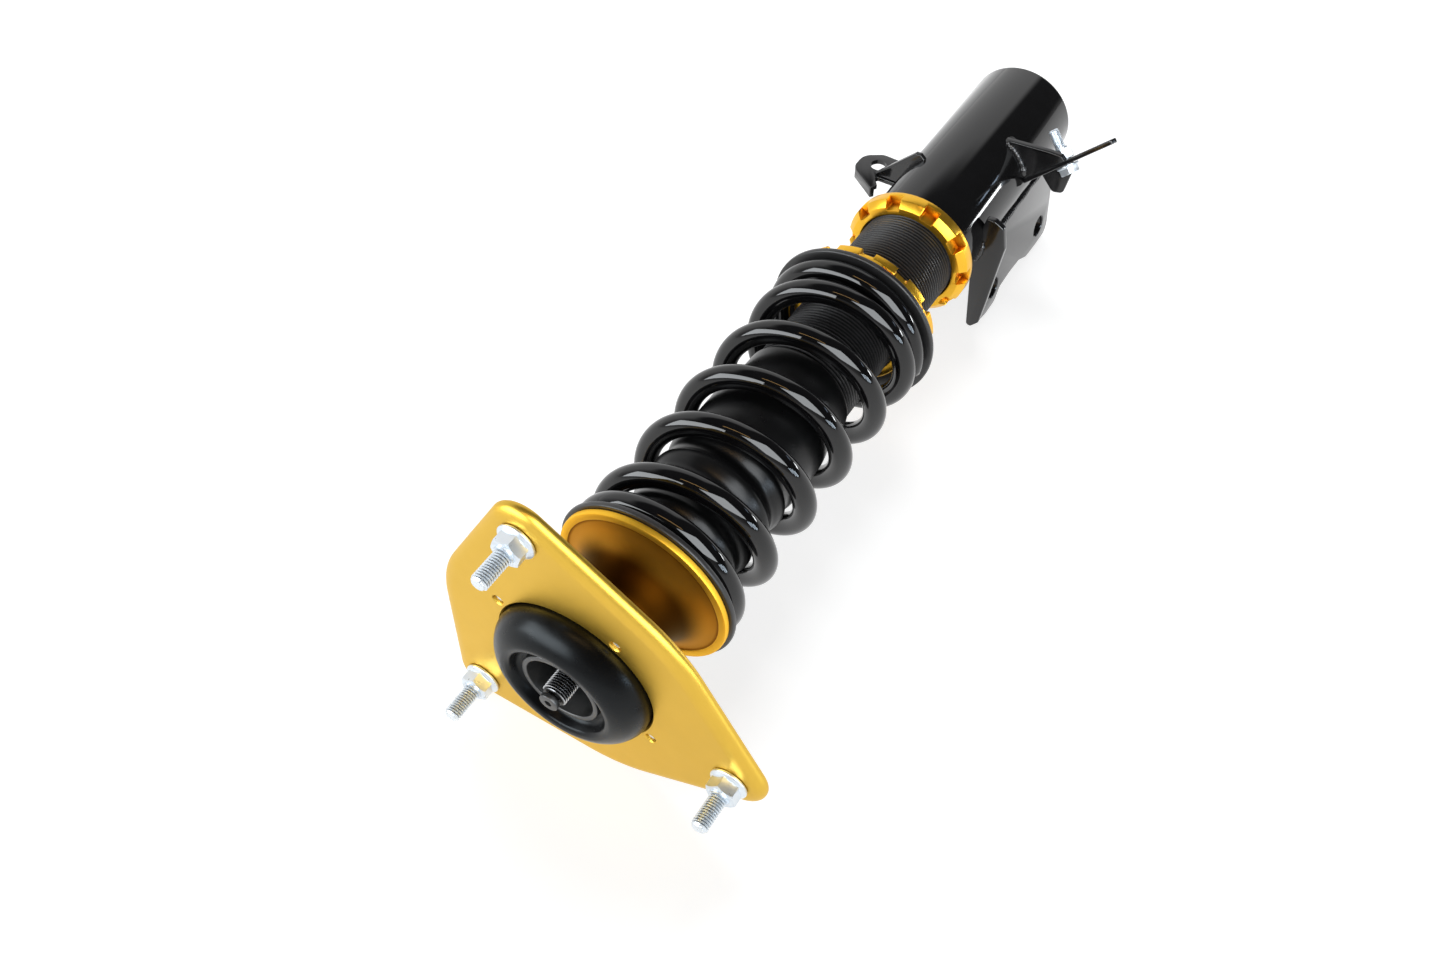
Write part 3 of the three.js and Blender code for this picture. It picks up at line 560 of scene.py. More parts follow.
def hex_nut(name, af, z0, z1, bore, flange=0.0, seg=72, turn=0.0, washer_h=1.1):
    h = z1 - z0
    nut = prism(name, hexagon(af, turn), z0, z1, bevel=0)
    corner = af / math.sqrt(3)
    cone = lathe_raw("cone", [(0, z0 - 1), (corner + 2, z0 - 1), (corner + 2, z1 - (corner + 2 - af * 0.47) * 0.58), (af * 0.47, z1), (0, z1)], seg, False)
    boolean(nut, cone, "INTERSECT")
    if flange:
        fl = lathe("flange", [(0, z0), (flange, z0, 0.3), (flange, z0 + washer_h, 0.5), (af / 2 + 0.4, z0 + washer_h + 1.2, 0.6), (0, z0 + washer_h + 1.2)], seg)
        boolean(nut, fl, "UNION")
    hole = lathe_raw("hole", [(0, z0 - 1), (bore + 0.9, z0 - 1), (bore + 0.9, z0 - 0.01), (bore, z0 + 0.9), (bore, z1 - 0.9), (bore + 0.9, z1 + 0.01), (bore + 0.9, z1 + 1), (0, z1 + 1)], seg, False)
    boolean(nut, hole)
    return soften(nut, 0.18, 2, 30)


nut = hex_nut("nut", 13.0, 448.3, 456.2, 3.85, flange=8.8)
for i, az in enumerate(STUD_AZ):
    x, y = STUD_PCR * math.cos(math.radians(az)) * MM, STUD_PCR * math.sin(math.radians(az)) * MM
    turn = Matrix.Rotation(math.radians((12, 40, 25)[i]), 4, "Z")
    s = copy_of(stud, f"stud_{i + 1}_threaded", Matrix.Translation((x, y, 0)) @ turn)
    finish_piece(s, "zinc_thread", "top_mount", f"mount_stud_{i + 1}", angle=25)
    s = copy_of(nut, f"flange_nut_{i + 1}", Matrix.Translation((x, y, 0)) @ turn)
    finish_piece(s, "zinc", "top_mount", f"stud_flange_nut_{i + 1}")
bpy.data.objects.remove(stud)
bpy.data.objects.remove(nut)

# The rubber bush: a rolled crown, a lip round the recess, a cone down to the sleeve.
crown = smooth_curve([(38.15, 448.9), (38.15, 450.4), (37.7, 452.4), (36.6, 454.9), (34.8, 457.6), (32.4, 459.9), (30.0, 461.5), (27.6, 462.4), (25.6, 462.3)], 5)
bush = [(19.4, 432.4), (34, 432.4), (38.1, 436), (38.15, 448.6)] + crown + [(24.5, 461.7), (23.95, 460.9), (23.5, 458.4), (22.6, 456.6), (21.2, 455.9), (19.4, 455.8)]
finish_piece(lathe_raw("rubber_bush", bush, 160), "dome", "top_mount", "mount_rubber", angle=50)
cup = lathe("bush_retainer_cup", [(34.6, 431.2), (41, 435.2), (41, 437), (48.8, 437), (48.8, 440.7), (38.6, 440.7), (38.6, 435.8), (34.4, 432.2)], 128, r=0.7)
for az in PIN_AZ:
    c = lathe_raw("cut", [(0, 420), (2.75, 420), (2.75, 460), (0, 460)], 36, False)
    c.data.transform(Matrix.Translation((43.3 * MM * math.cos(math.radians(az)), 43.3 * MM * math.sin(math.radians(az)), 0)))
    boolean(cup, c)
finish_piece(cup, "black_thread", "top_mount", "mount_rubber_retainer")
for i, az in enumerate(PIN_AZ):
    c = lathe(f"retainer_pin_{i + 1}_flush", [(0, 437.0), (2.3, 437.0, 0.3), (2.3, 446.6, 0.7), (0.6, 447.0, 0.3), (0, 447.0)], 32, r=0.2)
    c.data.transform(Matrix.Translation((43.3 * MM * math.cos(math.radians(az)), 43.3 * MM * math.sin(math.radians(az)), 0)))
    finish_piece(c, "zinc", "top_mount", f"retainer_pin_{i + 1}")
finish_piece(lathe("bush_inner_sleeve", [(6.3, 427.2), (22, 427.2), (22, 430, 0.8), (19.2, 432), (19.2, 459.1, 0.6), (16.7, 459.1, 0.5), (16.7, 440.9), (6.3, 440.9)], 128, r=0.3),
             "sleeve", "top_mount", "mount_inner_sleeve")
# The washer and nut are painted near black as shade in the bush's recess.
finish_piece(lathe("rod_end_washer", [(6.2, 441.1), (15.2, 441.1), (15.2, 443.7), (6.2, 443.7)], 72, r=0.35), "recess_shade_black", "top_mount", "rod_washer")
finish_piece(hex_nut("rod_end_nut", 17, 443.9, 450.6, 5.6, turn=20), "recess_shade_black", "top_mount", "rod_nut")

rod = lathe("piston_rod_ground", [(2.5, 212, 0.2), (5.9, 212, 0.5), (5.9, 238, 0), (10.95, 238, 0.5), (10.95, 426.0, 0.6), (5.6, 426.8, 0), (5.6, 440, 0), (2.5, 440, 0)], 96)
rod_top = thread("rod_top", 5.85, 0.9, 1.25, 439.5, 463.5, seg=56, r_in=2.55, top_chamfer=1.0)
finish_piece(rod, "chrome", "top_mount", "piston_rod")
finish_piece(rod_top, "dark_steel", "top_mount")

stem = lathe("damping_stem", [(0, 300), (2.1, 302.5, 0), (2.1, 463.0, 0.2), (2.9, 463.8, 0.3), (3.0, 464.6, 0.2), (4.5, 464.6, 0.25), (4.5, 466.9, 0.45), (0, 466.9)], 48, r=0.3)
boolean(stem, prism("hx", hexagon(3.2), 465.0, 470, bevel=0))
finish_piece(stem, "sleeve", "adjuster", "damping_adjuster_stem")

# ---------------------------------------------------------------- bearing and upper seat
finish_piece(lathe("bearing_race_low", [(12.6, 418.3), (21.5, 418.3), (21.5, 420.3), (12.6, 420.3)], 72, r=0.3), "chrome", "upper_seat", "bearing_lower_race")
finish_piece(lathe("bearing_race_top", [(12.6, 424.8), (21.5, 424.8), (21.5, 426.8), (12.6, 426.8)], 72, r=0.3), "chrome", "top_mount", "bearing_upper_race")
finish_piece(lathe("bearing_cage", [(14.6, 421.0), (20, 421.0), (20, 424.2), (14.6, 424.2)], 72, r=0.8), "bronze", "top_mount", "bearing_ball_cage")

cone = smooth_curve([(39.3, 398.1), (38.2, 398.2), (35.2, 399.2), (32.0, 400.8), (29.2, 402.9), (26.9, 405.5), (25.0, 408.8), (23.6, 412.6), (22.6, 417.0)], 6)
seat_prof = [(12, 385.6), (30.2, 385.6), (31.3, 386.8), (31.3, 395.7), (43.1, 395.7), (43.4, 396.0), (43.4, 398.0), (43.2, 398.6), (42.8, 398.8), (40.0, 398.8), (39.75, 398.7), (39.55, 398.4)] + cone + [(22.3, 417.8), (21.8, 418.0), (12, 418.0)]
finish_piece(lathe_raw("spring_seat_upper", seat_prof, 192), "gold_seat", "upper_seat", "upper_spring_seat", angle=38)
finish_piece(lathe("isolator_upper", [(31.9, 392.4), (45.2, 392.4), (45.2, 395.4), (31.9, 395.4)], 160, r=0.9), "rubber", "upper_seat", "upper_spring_isolator")

# ---------------------------------------------------------------- spring
TURNS = [(-0.2, 214.1), (0.1, 214.2), (0.45, 216.6), (1, 227), (2, 259.3), (3, 293.4), (4, 327.2), (4.95, 360.6), (5.4, 375.2), (5.8, 383.8), (6.1, 386.0), (6.4, 386.2)]
COIL_R, WIRE_R, START = 37.7, 5.74, math.radians(63.7)


def spring_z(t):
    n = len(TURNS)
    m = [0 if i in (0, n - 1) else (TURNS[i + 1][1] - TURNS[i - 1][1]) / (TURNS[i + 1][0] - TURNS[i - 1][0]) for i in range(n)]
    i = 0
    while i < n - 2 and t > TURNS[i + 1][0]:
        i += 1
    (t0, z0), (t1, z1) = TURNS[i], TURNS[i + 1]
    h = t1 - t0
    s = min(max((t - t0) / h, 0), 1)
    return ((2 * s ** 3 - 3 * s ** 2 + 1) * z0 + (s ** 3 - 2 * s ** 2 + s) * h * m[i] + (-2 * s ** 3 + 3 * s ** 2) * z1 + (s ** 3 - s ** 2) * h * m[i + 1])


def spring():
    t0, t1, steps = TURNS[0][0], TURNS[-1][0], 760
    ts = [t0 - 0.0] + [t0 + (t1 - t0) * i / steps for i in range(1, steps)] + [t1]
    centres, frames, radii = [], [], []
    for i, t in enumerate(ts):
        a = START + t * TAU
        centres.append((COIL_R * math.cos(a), COIL_R * math.sin(a), spring_z(t)))
    c = np.array(centres)
    tan = np.gradient(c, axis=0)
    tan /= np.linalg.norm(tan, axis=1)[:, None]
    for i, t in enumerate(ts):
        a = START + t * TAU
        rad = np.array((math.cos(a), math.sin(a), 0))
        rad -= tan[i] * (rad @ tan[i])
        rad /= np.linalg.norm(rad)
        frames.append((rad, np.cross(tan[i], rad)))
        radii.append(WIRE_R)
    # rounded cut ends
    for end, inner in ((0, 1), (-1, -2)):
        d = c[end] - c[inner]
        d /= np.linalg.norm(d)
        for depth, r in ((0.5, 5.5), (0.85, 5.0), (0.95, 4.2)):
            p = tuple(c[end] + d * depth)
            if end == 0:
                centres.insert(0, p); frames.insert(0, frames[0]); radii.insert(0, r)
            else:
                centres.append(p); frames.append(frames[-1]); radii.append(r)
    return sweep("main_spring", centres, frames, radii, 36)


finish_piece(spring(), "spring_black", "spring_stack", "coil_spring", angle=50)
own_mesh(bpy.data.objects["main_spring"])
finish_piece(lathe("isolator_lower", [(31.9, 205.1), (45.2, 205.1), (45.2, 208.1), (31.9, 208.1)], 160, r=0.9), "rubber", "spring_stack", "lower_spring_isolator")

# ---------------------------------------------------------------- boot and bump stop
boot_out = smooth_curve([(27.5, 262.2), (28.0, 263.5), (28.15, 268), (28.5, 276), (28.9, 281.5), (30.0, 286), (30.7, 291), (30.8, 300), (30.8, 311), (30.3, 316.5), (29.2, 320.5),
                         (29.5, 324), (30.9, 327.2), (31.0, 329.5), (30.1, 332.6), (29.0, 335.4), (29.4, 338.4), (30.9, 341.4), (31.0, 343.8), (30.1, 346.8), (29.0, 349.6),
                         (29.4, 352.6), (30.8, 355.6), (30.9, 358), (29.9, 361), (28.8, 363.8), (29.0, 366.4), (29.6, 369), (29.0, 372), (26.8, 376), (24.0, 381), (22.6, 385.1)], 4)
boot_in = [(r - 1.4, z) for r, z in boot_out[::-1]]
boot_in = [(max(r, 26.85) if z < 300 else r, z) for r, z in boot_in]
finish_piece(lathe_raw("rod_boot", boot_out + boot_in, 128), "boot", "upper_seat", "dust_boot", angle=60)
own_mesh(bpy.data.objects["rod_boot"])
stop_out = smooth_curve([(14.6, 341.2), (16.4, 343.4), (17.9, 347.5), (17.2, 351), (16.0, 354), (17.2, 357.4), (18.5, 361), (17.7, 364.6), (16.6, 368), (17.8, 371.4), (19.1, 375), (19.2, 380), (19.1, 385.0)], 4)
finish_piece(lathe_raw("rod_bump_stop", [(11.6, 341.2)] + stop_out + [(11.6, 385.0)], 72), "foam", "upper_seat", "bump_stop")
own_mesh(bpy.data.objects["rod_bump_stop"])

# ---------------------------------------------------------------- damper
body = thread("damper_body_threaded", BODY_R, 1.25, 2.0, 96, 274.6, seg=120, r_in=22.0, top_chamfer=1.2)
finish_piece(body, "black_thread", "damper_body", "threaded_body", angle=25)
finish_piece(lathe("damper_body_lower", [(22.0, 40.2), (25.3, 40.2), (25.3, 96.5), (22.0, 96.5)], 96), "black_thread", "damper_body")
finish_piece(lathe("gland_cap", [(11.6, 272.8), (21.7, 272.8), (21.7, 275.3), (26, 275.3), (26, 277.6), (25, 278.6), (11.6, 278.6)], 96, r=0.3), "black_thread", "damper_body", "gland_nut")
finish_piece(lathe("guide_bush", [(11.3, 252), (18.7, 252), (21.7, 255), (21.7, 268), (11.3, 268)], 72), "steel", "damper_body", "rod_guide")
finish_piece(lathe("lip_seal", [(11.3, 268.3), (21.7, 268.3), (21.7, 272.5), (11.3, 272.5)], 72), "rubber", "damper_body", "rod_seal")
finish_piece(lathe("base_plug", [(0, 40.3), (21.7, 40.3), (21.7, 50), (0, 50)], 72), "steel", "damper_body", "body_base_plug")
finish_piece(lathe("gas_piston", [(0, 84), (21.7, 84), (21.7, 87.2), (19.6, 87.2), (19.6, 90.8), (21.7, 90.8), (21.7, 94), (14, 94), (12, 88.5), (0, 88.5)], 72, r=0.3), "steel", "damper_body", "floating_piston")
finish_piece(lathe("gas_piston_ring", [(19.9, 87.5), (21.6, 87.5), (21.6, 90.5), (19.9, 90.5)], 72, r=0.8), "rubber", "damper_body", "floating_piston_o_ring")
finish_piece(lathe("valve_piston", [(6.3, 222), (20.7, 222), (20.7, 225), (20.1, 225), (20.1, 235), (20.7, 235), (20.7, 237.7), (6.3, 237.7)], 72, r=0.3), "steel", "top_mount", "piston")
finish_piece(lathe("valve_piston_band", [(20.4, 225.3), (21.7, 225.3), (21.7, 234.7), (20.4, 234.7)], 72, r=0.2), "plastic", "top_mount", "piston_band")
finish_piece(hex_nut("valve_nut", 19, 213, 221.7, 6.2), "steel", "top_mount", "piston_nut")

# ---------------------------------------------------------------- perch rings
def notched(ob, count, first, shape, z0, z1, width=0.3):
    for i in range(count):
        c = prism("cut", shape, z0, z1, bevel=0)
        c.data.transform(Matrix.Rotation(math.radians(first + 360 / count * i), 4, "Z"))
        boolean(ob, c)
    return soften(ob, width, 2, 35)


lock = lathe("bracket_lock_ring", [(26.85, 139.3), (34.9, 139.3, 0.4), (34.9, 145.6, 0.2), (31.6, 149.0, 0.3), (27.6, 149.0, 0.2), (26.85, 148.2, 0)], 160, r=0.2, n=2)
lock = notched(lock, 10, 1, rounded([(29.8, -3.9, 1.0), (40, -4.3), (40, 4.3), (29.8, 3.9, 1.0)], 4), 142.2, 155)
finish_piece(lock, "gold_ring", "lock_ring", "lower_lock_ring", angle=35)

perch = lathe("perch_collar", [(26.85, 199.8), (40.6, 199.8, 0.6), (41.5, 200.7, 0.3), (41.5, 204.8, 0.5), (31.2, 204.8, 0), (31.2, 211.4, 0.6), (26.85, 211.4, 0.4)], 160, r=0.3)
perch = notched(perch, 12, 9, rounded([(37.6, -3.8, 1.0), (50, -4.4), (50, 4.4), (37.6, 3.8, 1.0)], 4), 190, 203.3)
finish_piece(perch, "gold_ring", "perch_rings", "spring_perch", angle=35)
plock = lathe("perch_jam_ring", [(26.85, 193.5), (38.4, 193.5, 0.3), (39.6, 194.7, 0.3), (39.6, 199.5, 0.4), (26.85, 199.5)], 160, r=0.3)
plock = notched(plock, 12, 0, rounded([(35.4, -3.8, 1.0), (50, -4.4), (50, 4.4), (35.4, 3.8, 1.0)], 4), 190, 201)
finish_piece(plock, "gold_ring", "perch_rings", "perch_lock_ring", angle=35)

# ---------------------------------------------------------------- lower bracket
finish_piece(lathe("bracket_tube_coated", [(26.9, 0), (30.0, 0, 1.3), (30.0, 139, 0.7), (26.9, 139, 0.3)], 192, r=0.3, n=4), "black_gloss", "lower_bracket", "bracket_tube")
finish_piece(lathe("bracket_tube_cap", [(0, 0), (26.6, 0, 0.8), (26.6, 6), (0, 6)], 128), "black_gloss", "lower_bracket", "bottom_cap")

A = math.radians(4.5)
eN = Vector((math.cos(A), math.sin(A), 0))
eU = Vector((math.sin(A), -math.cos(A), 0))
Z = Vector((0, 0, 1))


def tube_tool(r=29.7):
    return lathe_raw("tube_tool", [(0, -30), (r, -30), (r, 170), (0, 170)], 160, False)


ear_out = rounded([(5, 111.7), (61, 111.7, 4), (66, 106, 4), (67.6, 98, 5), (67.2, 86, 7), (61, 79.5, 6), (60.2, 66, 8), (61, 53, 6), (66.6, 42, 7), (67.4, 28, 8), (66.8, 12, 7), (44, 12, 4), (5, 12)], 6)
for side, name in ((1, "right"), (-1, "left")):
    org = eN * (28.5 if side > 0 else -24)
    m = axes(org, eU, Z, -eN)
    ear = prism(f"ear_plate_{name}", ear_out, 0, 4.5, bevel=0.8, seg=3)
    for u, z in ((54, 26.7), (54, 90)):
        c = lathe_raw("c", [(0, -5), (6.9, -5), (6.9, -0.05), (6.3, 0.55), (6.3, 3.95), (6.9, 4.55), (6.9, 10), (0, 10)], 48, False)
        c.data.transform(Matrix.Translation((u * MM, z * MM, 0)))
        boolean(ear, c)
    ear.data.transform(m)
    boolean(ear, tube_tool())
    finish_piece(ear, "black_bracket", "lower_bracket", f"knuckle_ear_{name}", angle=40)

fin = prism("ear_fin_plate", rounded([(24, 62.5, 2), (24, 10), (31, -14), (35.5, -14, 2.5), (41, -10.5, 2.5), (42.5, 3, 5), (40.2, 14.1, 6), (34.8, 42, 6), (31.3, 59.1, 2.5), (26.6, 63.7, 2.5)], 6), -2, 2, bevel=0.7)
fin.data.transform(axes((0, 0, 114), eN, eU, -Z))
boolean(fin, tube_tool())
finish_piece(fin, "black_bracket", "lower_bracket", "ear_fin_right", angle=40)

web = prism("ear_web", [(-24.2, 6), (24.2, 6), (24.2, 38), (-24.2, 38)], -2, 2, bevel=0.5)
web.data.transform(axes((0, 0, 103), eN, eU, -Z))
boolean(web, tube_tool())
finish_piece(web, "black_bracket", "lower_bracket", "ear_web_plate", angle=40)

gus = prism("hose_gusset", rounded([(-10, 20), (-18.6, 27.6, 0.5), (-21.6, 27.4, 0.5), (-44.2, 5.0, 0.6), (-43.4, 4.2, 0.6), (-20, 4.2)], 6), 97, 100, bevel=0.5)
boolean(gus, tube_tool())
finish_piece(gus, "black_bracket", "lower_bracket", "hose_tab_gusset_left", angle=40)

tm = axes((0, 0, 0), (1, 0, 0), (0, 0, 1), (0, -1, 0))
tab = prism("hose_tab", rounded([(-22, 100.5), (-43.5, 101, 1.5), (-38.5, 107.5, 1), (-41.5, 110.5, 1), (-57.9, 99.2, 7), (-57.8, 87.5, 8), (-48, 81.2, 7), (-38, 81.5, 3), (-22, 85)], 8), -4, -1.2, bevel=0.5)
lip = prism("lip", [(-40.9, 110.9), (-39.4, 108.9), (-55.2, 97.7), (-56.8, 99.6)], -3.9, 3.2, bevel=0.4)
boolean(tab, lip, "UNION")
hole = lathe_raw("c", [(0, -20), (4.5, -20), (4.5, 20), (0, 20)], 40, False)
hole.data.transform(Matrix.Translation((-46.3 * MM, 91.2 * MM, 0)))
boolean(tab, hole)
tab.data.transform(tm)
boolean(tab, tube_tool())
finish_piece(tab, "black_bracket", "lower_bracket", "hose_tab_left", angle=40)

aN = Vector((0.68, -0.657, 0.324)).normalized()
aE = Vector((0.695, 0.719, 0))
aE = (aE - aN * aE.dot(aN)).normalized()
aF = aN.cross(aE)
aO = Vector((46.8, 25, 62))
am = axes(aO, aE, aF, aN)
gus = prism("line_gusset", rounded([(5, 20), (14.5, 26.5, 1), (40, 28.6, 4), (46.6, 28.4, 1.5), (50, 25), (29, 3), (20, 2)], 6), 58.5, 62, bevel=0.5)
space = prism("c", [(-40, -40), (50, -40), (50, 20), (-40, 20)], 0.4, 20, bevel=0)
space.data.transform(am)
boolean(gus, space)
boolean(gus, tube_tool())
finish_piece(gus, "black_bracket", "lower_bracket", "line_gusset_right", angle=40)
arm = prism("line_arm", rounded([(-30, 0), (33.5, 0, 1.2), (33.5, -6, 2), (15, -8.5, 5), (9, -18, 3), (-30, -18)], 6), 0, 2.6, bevel=0.5)
hole = lathe_raw("c", [(0, -20), (3.3, -20), (3.3, 20), (0, 20)], 40, False)
hole.data.transform(Matrix.Translation((-4 * MM, -10.5 * MM, 0)))
boolean(arm, hole)
arm.data.transform(am)
lug = prism("lug", rounded([(33.5, 0.5), (49, 15.5, 1), (50.5, 11, 2), (47.6, -7, 3), (41.5, -8.6, 3)], 5), 43.8, 46.2, bevel=0.4)
boolean(arm, lug, "UNION")
boolean(arm, tube_tool())
finish_piece(arm, "black_bracket", "lower_bracket", "line_arm_right", angle=40)

bm_ = axes(aO + aE * -4 + aF * -10.5, aE, aF, aN)
bolt = thread("line_bolt_threaded", 2.95, 0.5, 1.0, -17.5, 3.5, seg=36, top_chamfer=0, low_chamfer=0.8)
head = prism("head", hexagon(10), 2.9, 8, bevel=0)
boolean(head, lathe_raw("c", [(0, 2), (8, 2), (8, 6.2), (4.8, 8.02), (0, 8.02)], 48, False), "INTERSECT")
boolean(head, lathe("c", [(0, 2.9), (6.2, 2.9), (6.2, 3.9), (5.2, 4.6), (0, 4.6)], 48, r=0.2), "UNION")
boolean(bolt, soften(head, 0.15, 2, 30), "UNION")
bolt.data.transform(bm_)
finish_piece(bolt, "zinc", "lower_bracket", "line_bolt", angle=30)
lnut = hex_nut("line_bolt_nut", 10, -6, -0.3, 2.7, seg=48)
lnut.data.transform(bm_)
finish_piece(lnut, "zinc", "lower_bracket", "line_nut", angle=30)


def weld(name, pts, radius=2.0, step=0.35, seed=1):
    """A weld bead along a path: overlapping ripples of uneven height."""
    rng = np.random.default_rng(seed)
    p = np.array(pts, float)
    d = np.r_[0, np.cumsum(np.linalg.norm(np.diff(p, axis=0), axis=1))]
    s = np.arange(0, d[-1], step)
    c = np.stack([np.interp(s, d, p[:, k]) for k in range(3)], 1)
    tan = np.gradient(c, axis=0)
    tan /= np.linalg.norm(tan, axis=1)[:, None]
    wob = np.interp(s, np.linspace(0, d[-1], 12), rng.normal(0, 0.12, 12))
    radii = radius * (1 + wob + 0.11 * np.abs(np.sin(s * math.pi / 1.9)))
    ends = np.minimum(1, np.minimum(s, d[-1] - s) / 2.0)
    radii *= np.sqrt(np.clip(0.1 + ends, 0, 1))
    frames = []
    for i in range(len(c)):
        ref = np.array((0, 0, 1.0)) if abs(tan[i][2]) < 0.8 else np.array((1.0, 0, 0))
        u = np.cross(tan[i], ref)
        u /= np.linalg.norm(u)
        frames.append((u, np.cross(tan[i], u)))
    ob = sweep(name, [tuple(v) for v in c], frames, radii.tolist(), 14)
    finish_piece(ob, "black_bracket", "lower_bracket", angle=70)
    return ob


def on_tube(az0, az1, z, r=30.1, n=40):
    return [(r * math.cos(math.radians(az0 + (az1 - az0) * i / n)), r * math.sin(math.radians(az0 + (az1 - az0) * i / n)), z) for i in range(n + 1)]


weld("weld_line_gusset", on_tube(60, 16, 62.6), 1.9, seed=3)
weld("weld_line_gusset_back", on_tube(60, 14, 58.0), 1.6, seed=4)
for side, name in ((1, "right"), (-1, "left")):
    u = math.sqrt(30.0 ** 2 - 28.5 ** 2)
    base = eN * (28.6 * side) + eU * u
    weld(f"weld_ear_{name}", [(base.x, base.y, z) for z in np.linspace(14, 113, 60)], 2.1, seed=7 + side)
weld("weld_fin", on_tube(2, -26, 116.2, r=30.2), 1.6, seed=13)
weld("weld_web", [tuple(eN * (30.1 * math.sin(math.radians(a))) + eU * (30.1 * math.cos(math.radians(a))) + Z * 105.2) for a in range(-50, 51, 3)], 1.6, seed=15)

# ---------------------------------------------------------------- stage, light, camera
bpy.context.view_layer.update()
scene = bpy.context.scene
slope = 0.0077
floor_me = bpy.data.meshes.new("floor")
F = 6.0
fl = [(x, -0.0682 - slope * (z - 0.06), z) for x, z in ((-F, -F), (F, -F), (F, F), (-F, F))]
floor_me.from_pydata(fl, [], [(0, 3, 2, 1)])
floor = bpy.data.objects.new("floor", floor_me)
scene.collection.objects.link(floor)
fm = bpy.data.materials.new("floor_paper")
fm.use_nodes = True
nt = fm.node_tree
nt.nodes.clear()
o = nt.nodes.new("ShaderNodeOutputMaterial")
mixs = nt.nodes.new("ShaderNodeAddShader")
dif = nt.nodes.new("ShaderNodeBsdfDiffuse")
dif.inputs[0].default_value = (0.42, 0.425, 0.43, 1)
em = nt.nodes.new("ShaderNodeEmission")
em.inputs[0].default_value = (1, 1, 1, 1)
em.inputs[1].default_value = 0.80
nt.links.new(dif.outputs[0], mixs.inputs[0])
nt.links.new(em.outputs[0], mixs.inputs[1])
# Its underside is clear, so that the strut can be seen from that side too.
gn = nt.nodes.new("ShaderNodeNewGeometry")
clear = nt.nodes.new("ShaderNodeBsdfTransparent")
oneway = nt.nodes.new("ShaderNodeMixShader")
nt.links.new(gn.outputs["Backfacing"], oneway.inputs[0])
nt.links.new(mixs.outputs[0], oneway.inputs[1])
nt.links.new(clear.outputs[0], oneway.inputs[2])
nt.links.new(oneway.outputs[0], o.inputs[0])
floor_me.materials.append(fm)
# The turned plate's lobes would reach below the floor, so the floor sinks with the swivel and lies still at rest.
sink = floor.driver_add("location", 1).driver
sink.type = "SCRIPTED"
turn_of_top = sink.variables.new()
turn_of_top.name = "turn"
turn_of_top.type = "TRANSFORMS"
turn_of_top.targets[0].id = frame["bodies"]["top_mount"]
turn_of_top.targets[0].transform_type = "ROT_Z"
turn_of_top.targets[0].transform_space = "WORLD_SPACE"
sink.expression = "-0.026*min(1,abs(turn)*1.6)"

# World: a white wall behind on the left, a dark ceiling, soft grey elsewhere.
world = bpy.data.worlds.new("studio")
scene.world = world
world.use_nodes = True
wt = world.node_tree
wt.nodes.clear()
wo = wt.nodes.new("ShaderNodeOutputWorld")
bg = wt.nodes.new("ShaderNodeBackground")
wt.links.new(bg.outputs[0], wo.inputs[0])
tc = wt.nodes.new("ShaderNodeTexCoord")
sep = wt.nodes.new("ShaderNodeSeparateXYZ")
wt.links.new(tc.outputs["Generated"], sep.inputs[0])


def wmath(op, a, b=None, c=None):
    n = wt.nodes.new("ShaderNodeMath")
    n.operation = op
    for i, v in enumerate((a, b, c)):
        if v is None:
            continue
        if isinstance(v, (int, float)):
            n.inputs[i].default_value = v
        else:
            wt.links.new(v, n.inputs[i])
    return n.outputs[0]


def step(v, lo, hi):
    n = wt.nodes.new("ShaderNodeMapRange")
    n.interpolation_type = "SMOOTHSTEP"
    wt.links.new(v, n.inputs[0])
    n.inputs[1].default_value = lo
    n.inputs[2].default_value = hi
    return n.outputs[0]


X, Y, ZZ = sep.outputs
wall = wmath("MULTIPLY", step(X, 0.10, -0.04), step(Y, 0.80, 0.62))
back = step(ZZ, 0.5, -0.1)
wall = wmath("MULTIPLY", wall, back)
front = wmath("MULTIPLY", step(ZZ, 0.0, 0.7), step(Y, 0.55, 0.3))
low = step(Y, 0.12, -0.02)
val = wmath("ADD", 0.05, wmath("MULTIPLY", wall, 0.95))
val = wmath("ADD", val, wmath("MULTIPLY", front, 0.35))
val = wmath("ADD", val, wmath("MULTIPLY", low, 0.30))
# The camera itself sees plain pale paper behind the floor's edge.
lp = wt.nodes.new("ShaderNodeLightPath")
val = wmath("ADD", wmath("MULTIPLY", val, wmath("SUBTRACT", 1.0, lp.outputs["Is Camera Ray"])), wmath("MULTIPLY", lp.outputs["Is Camera Ray"], 0.93))
wt.links.new(val, bg.inputs[1])
bg.inputs[0].default_value = (1.0, 1.0, 1.0, 1)


def area(name, centre, long_axis, target, length, height, radiance, color=(1, 1, 1), diffuse=True, glossy=True):
    """A soft rectangle of light facing the strut, its long side along long_axis. Its strength is set from the radiance wanted."""
    c, t = Vector(centre), Vector(target)
    z = (c - t).normalized()
    x = Vector(long_axis)
    x = (x - z * x.dot(z)).normalized()
    y = z.cross(x)
    ld = bpy.data.lights.new(name, "AREA")
    ld.shape = "RECTANGLE"
    ld.size = length
    ld.size_y = height
    ld.energy = radiance * math.pi * length * height
    ld.color = color
    ob = bpy.data.objects.new(name, ld)
    m = Matrix.Identity(4)
    for k in range(3):
        m[k][0], m[k][1], m[k][2], m[k][3] = x[k], y[k], z[k], c[k]
    ob.matrix_world = m
    ob.visible_camera = False
    ob.visible_diffuse = diffuse
    ob.visible_glossy = glossy
    scene.collection.objects.link(ob)
    return ob


CENTRE = (0, 0, 0.28)


def along(direction, distance, target=CENTRE):
    d = Vector(direction).normalized() * distance
    return tuple(Vector(target) + d)


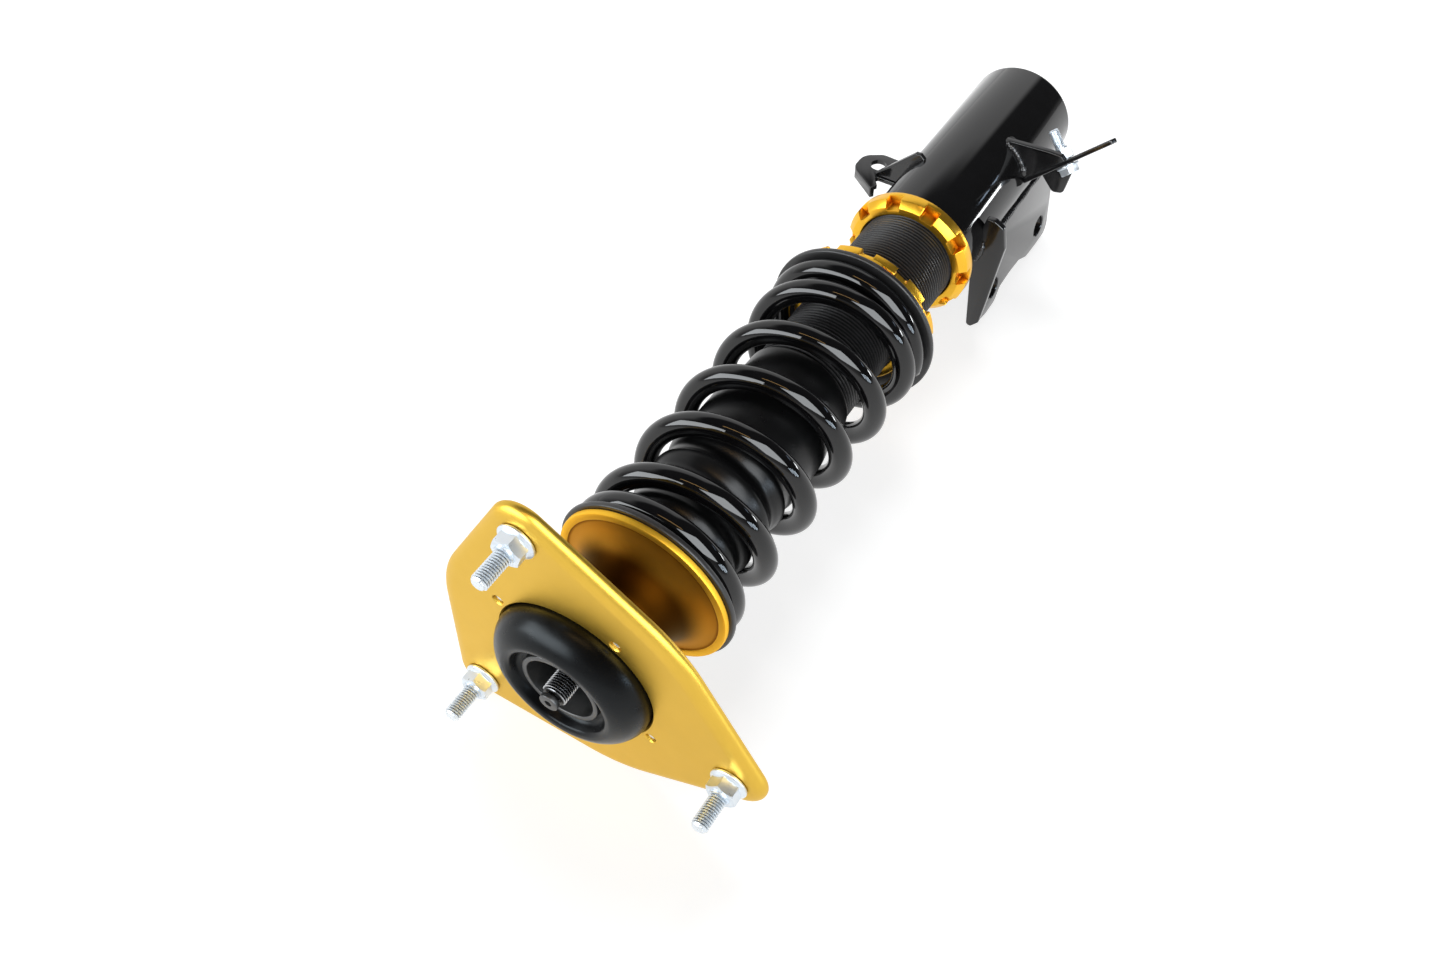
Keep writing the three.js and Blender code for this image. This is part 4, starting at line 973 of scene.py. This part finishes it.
area("overhead", (-0.35, 1.5, -0.35), (1, 0, 0), CENTRE, 0.9, 0.6, 9.4, glossy=False)
area("fill", (0.3, 1.1, 1.7), (1, 0, 0), CENTRE, 1.2, 1.2, 2.2, glossy=False)
area("softbox_right", along((0.62, 0.60, 0.40), 2.0), (0.33, -0.5, 0.2), CENTRE, 1.5, 1.8, 7.4, color=(0.93, 0.97, 1.0), diffuse=False)
# The right box stands behind a flag that keeps it off the rubber bush.
flag = bpy.data.collections.new("flagged")
flag.objects.link(bpy.data.objects["rubber_bush"])
bpy.data.objects["softbox_right"].light_linking.receiver_collection = flag
flag.collection_objects[0].light_linking.link_state = "EXCLUDE"
area("softbox_left", along((-0.52, 0.40, 0.72), 2.0), (0.9, 0.26, 0.48), CENTRE, 2.1, 1.0, 7.5, color=(0.93, 0.97, 1.0), diffuse=False)
area("warm_lamp", along((0.07, 0.93, 0.34), 2.0), (1, 0, -0.12), CENTRE, 1.1, 0.10, 9.0, color=(1.0, 0.60, 0.22), diffuse=False)
for k, (zz, hh, yy) in enumerate(((-0.28, 0.30, 0.20), (-0.06, 0.42, 0.24), (0.20, 0.42, 0.28), (0.46, 0.30, 0.34))):
    area(f"window_right_{k}", (1.95, yy, 0.28 + zz), (0, 1, 0), CENTRE, hh, 0.13, 14.0, color=(0.74, 0.87, 1.0), diffuse=False)
area("strip_back", (0.95, 0.055, -0.83), (0.70, 0, 0.72), (0, 0.02, 0.12), 0.30, 0.085, 26.0, color=(0.95, 0.98, 1.0), diffuse=False)
area("window_back", (0.88, 0.33, -0.86), (0.70, 0, 0.72), (0, 0.02, 0.12), 0.24, 0.05, 5.0, color=(0.62, 0.78, 1.0), diffuse=False)

cam_data = bpy.data.cameras.new("camera")
cam_data.sensor_fit = "HORIZONTAL"
cam_data.sensor_width = 36.0
cam_data.lens = 35.04
cam_data.clip_start = 0.01
cam_data.clip_end = 50
cam = bpy.data.objects.new("camera", cam_data)
right = Vector((0.849, 0.0, -0.52798)).normalized()
fwd = Vector((-0.334, -0.775, -0.53673)).normalized()
up = right.cross(fwd).normalized()
right = fwd.cross(up).normalized()
cm = Matrix.Identity(4)
for k in range(3):
    cm[k][0], cm[k][1], cm[k][2] = right[k], up[k], -fwd[k]
cm.translation = (0.21577, 0.50363, 0.67828)
cam.matrix_world = cm
scene.collection.objects.link(cam)
scene.camera = cam
scene.view_settings.view_transform = "Standard"
scene.view_settings.look = "None"
scene.view_settings.exposure = 0.0
scene.cycles.use_denoising = True

bpy.context.view_layer.update()
